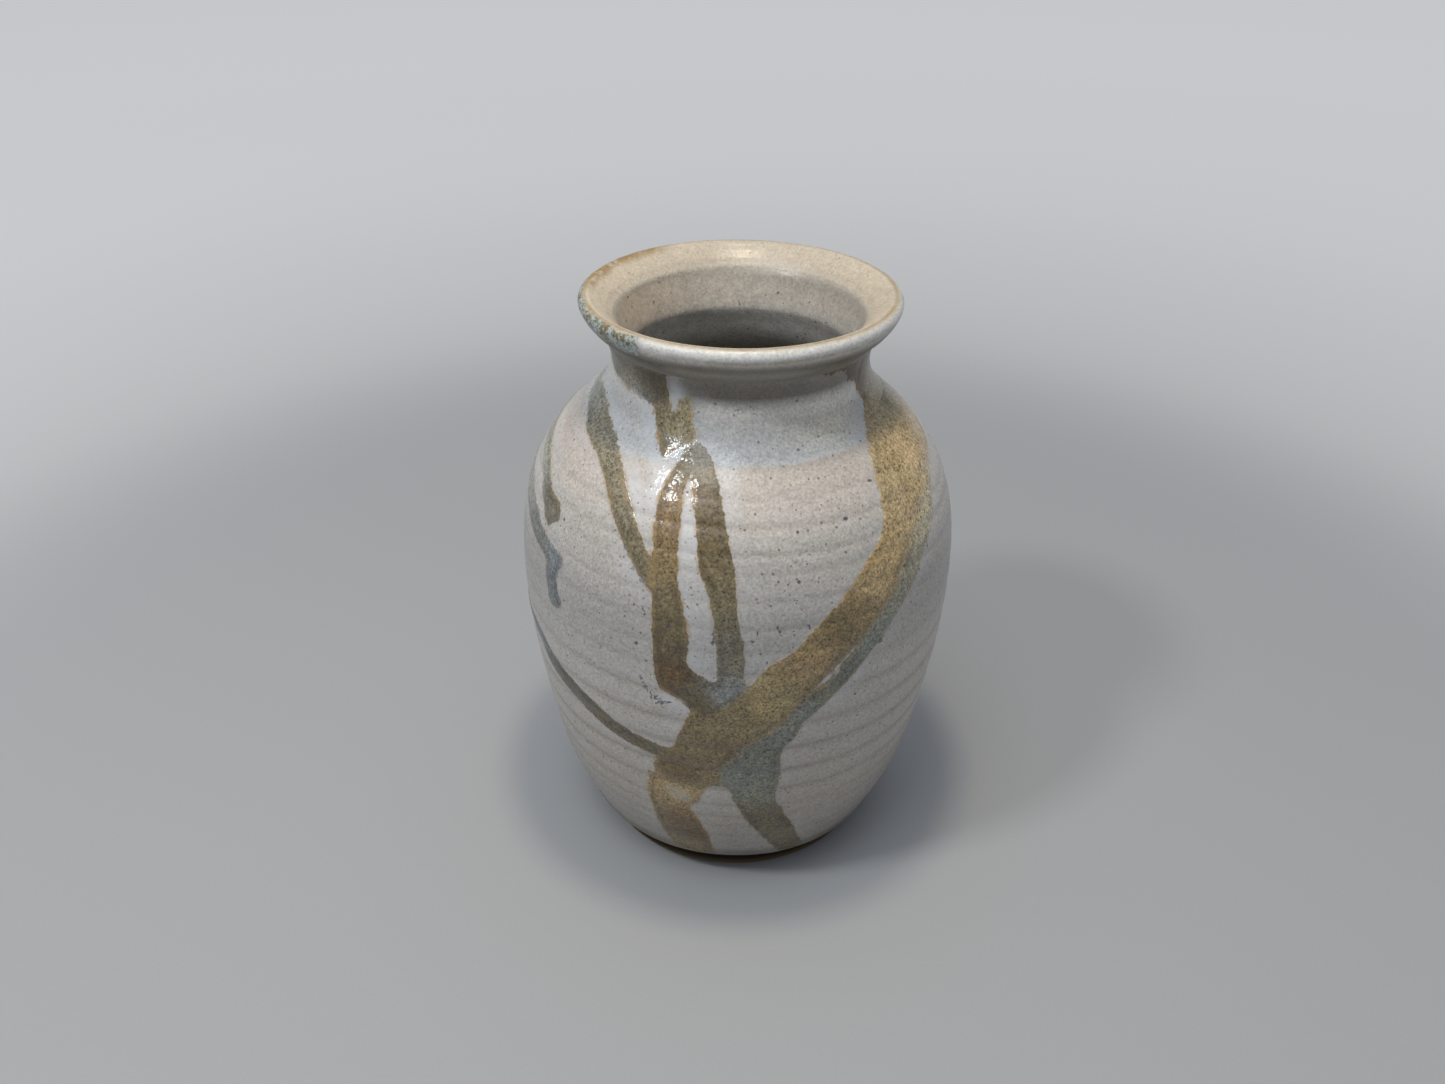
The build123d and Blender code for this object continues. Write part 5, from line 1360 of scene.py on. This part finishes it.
def rim_glaze(name):
    g = Graph(name)
    col, run = g.attr("col_dip", True), g.attr("col_run", True)
    dt = g.attr("dt")
    n_fine = g.noise(0.80, 2.0, 0.62)
    n_small = g.noise(1.5, 2.0, 0.55, offset=(3, 1, 7))
    n_mid = g.noise(3.2, 3.0, 0.55, offset=(9, 4, 2))
    grain = g.m("ADD", g.m("MULTIPLY", n_fine, 0.75), g.m("MULTIPLY", n_small, 0.34))
    grain = g.m("ADD", grain, g.m("MULTIPLY", n_mid, 0.24))
    grain = g.m("ADD", grain, 1.0 - 0.665)
    col = scale_colour(g, col, grain)
    w1 = g.m("MULTIPLY_ADD", n_fine, 0.22, -0.11)
    s_a = g.specks(1.15, 0.40, 0.13, 0.27, edge=0.10, wob=w1)
    s_b = g.specks(3.6, 0.34, 0.18, 0.38, offset=(7, 3, 5), edge=0.10, wob=w1)
    col = g.mix(g.m("MULTIPLY", s_a, 0.34), col, (0.22, 0.15, 0.09))
    col = g.mix(g.m("MULTIPLY", s_b, 0.66), col, (0.13, 0.085, 0.050))
    edge = g.m("ADD", g.m("MULTIPLY_ADD", n_small, 2.6, -1.3), g.m("MULTIPLY_ADD", n_mid, 2.4, -1.2))
    mask = g.ramp(g.m("ADD", dt, edge), -0.9, 0.8)
    lip = g.attr("lip")
    nf = g.noise(1.2, 3.0, 0.62, offset=(2, 6, 1))
    nk = g.noise(0.95, 2.0, 0.60, offset=(8, 3, 3))
    nl = g.noise(4.5, 2.0, 0.5, offset=(5, 9, 2))
    olive = g.ramp(g.m("ADD", nf, g.m("MULTIPLY_ADD", nl, 0.9, -0.45)), 0.50, 0.58)
    patchy = g.mix(olive, RIM_BLUE, RIM_OLIVE)
    patchy = g.mix(g.ramp(nk, 0.45, 0.37, 0.0, 0.55), patchy, (0.47, 0.51, 0.47))
    patchy = g.mix(g.ramp(nk, 0.54, 0.62, 0.0, 0.85), patchy, (0.050, 0.052, 0.042))
    patchy = scale_colour(g, patchy, g.m("MULTIPLY_ADD", n_fine, 1.2, 0.38))
    zone = g.ramp(g.m("ADD", lip, g.m("MULTIPLY_ADD", nf, 0.9, -0.45)), 0.30, 0.60)
    zone = g.m("MAXIMUM", zone, g.m("MULTIPLY", mask, g.ramp(lip, 0.10, 0.45)))
    col = g.mix(g.m("MULTIPLY", zone, 0.90), col, patchy)
    for at, r, e, f, c, fl in RIM_SPOTS:
        m_ = g.spot(at, r, e, wob=g.m("MULTIPLY_ADD", n_small, 0.8 * r, -0.4 * r), flat=fl)
        col = g.mix(g.m("MULTIPLY", m_, f), col, c)
    rough = g.m("MULTIPLY_ADD", n_small, 0.18, 0.36)
    hgt = g.m("ADD", g.m("MULTIPLY", g.noise(2.0, 2.0, 0.45), 0.10), g.m("MULTIPLY", n_fine, 0.045))
    return g.finish(col, rough, hgt, spec=0.5, coat=0.15, coat_rough=0.2, bump=1.0)


def bare_clay(name):
    g = Graph(name)
    col = g.attr("col_low", True)
    n_fine = g.noise(0.4, 3.0, 0.65)
    n_small = g.noise(1.3, 3.0, 0.6, offset=(3, 1, 7))
    turn = g.noise(1.1, 2.0, 0.6, stretch=(0.12, 0.12, 1.0))
    grain = g.m("ADD", g.m("MULTIPLY", n_fine, 0.5), g.m("MULTIPLY", n_small, 0.5))
    grain = g.m("ADD", grain, g.m("MULTIPLY", turn, 0.3))
    grain = g.m("ADD", grain, 0.35)
    col = scale_colour(g, col, grain)
    s = g.specks(1.6, 0.4, 0.08, 0.30, edge=0.12)
    col = g.mix(g.m("MULTIPLY", s, 0.6), col, (0.03, 0.02, 0.014))
    s2 = g.specks(3.1, 0.3, 0.10, 0.34, offset=(4, 4, 1), edge=0.12)
    col = g.mix(g.m("MULTIPLY", s2, 0.45), col, (0.42, 0.33, 0.24))
    hgt = g.m("ADD", g.m("MULTIPLY", n_small, 0.16), g.m("MULTIPLY", n_fine, 0.10))
    hgt = g.m("ADD", hgt, g.m("MULTIPLY", turn, 0.10))
    rough = g.m("MULTIPLY_ADD", n_small, 0.2, 0.68)
    return g.finish(col, rough, hgt, spec=0.35, bump=1.0)


MAT_OUT = {
    "cream_glaze": outer_glaze("glaze_cream", 0.34),
    "blue_grey_glaze": outer_glaze("glaze_blue_grey", 0.32),
    "ochre_trail": outer_glaze("glaze_ochre", 0.34),
    "grey_green_trail": outer_glaze("glaze_grey_green", 0.34),
}
MAT_RIM = rim_glaze("glaze_rim_lip")
MAT_FUNNEL = rim_glaze("glaze_rim_funnel")
MAT_LINER = inner_glaze("glaze_liner_neck", 0.40, 1.0)
MAT_LINER_LOW = inner_glaze("glaze_liner_belly", 0.44, 1.0)
MAT_CLAY = bare_clay("clay_bare")
CHOICE = {
    "foot_clay": (MAT_CLAY, ["stoneware_body"], "bare_clay"),
    "dip_collar": (MAT_OUT["blue_grey_glaze"], ["glaze_dip_collar"], "blue_grey_glaze"),
    "rim_lip": (MAT_RIM, ["glaze_rim"], "rim_glaze"),
    "rim_funnel": (MAT_FUNNEL, ["glaze_rim"], "rim_glaze"),
    "liner_neck": (MAT_LINER, ["glaze_liner"], "liner_glaze"),
    "liner_upper": (MAT_LINER_LOW, ["glaze_liner"], "liner_glaze"),
    "liner_lower": (MAT_LINER_LOW, ["glaze_liner"], "liner_glaze"),
    "liner_floor": (MAT_LINER_LOW, ["glaze_liner"], "liner_glaze"),
}
for word in ("front", "right", "back", "left"):
    for part in ("coat_upper_", "coat_lower_"):
        CHOICE[part + word] = (MAT_OUT["cream_glaze"], ["glaze_coat_body"], "cream_glaze")
for name, outline, holes, node, slot in TRAILS:
    CHOICE["run_" + name] = (MAT_RIM if name == "rim_left" else MAT_OUT[slot], [node], slot)

made = []
for name, (mat, nodes, slot_name) in CHOICE.items():
    mask = label == name
    if not mask.any():
        print("no faces for", name)
        continue
    extra = None
    if name == "foot_clay":
        extra = (0, np.array([[0.0, 0.0, 0.0036]]), np.array([[0.0, 0.0, -1.0]]))
    if name == "liner_floor":
        extra = (R_ - 1, np.array([[0.0, 0.0, float(POS[-1, :, 2].mean()) / 1000.0]]), np.array([[0.0, 0.0, 1.0]]))
    ob = make_piece(name, mask, extra)
    ob.data.materials.append(mat)
    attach(ob, "root")
    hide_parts(*nodes)
    made.append(name)

print("pieces", sorted(made))

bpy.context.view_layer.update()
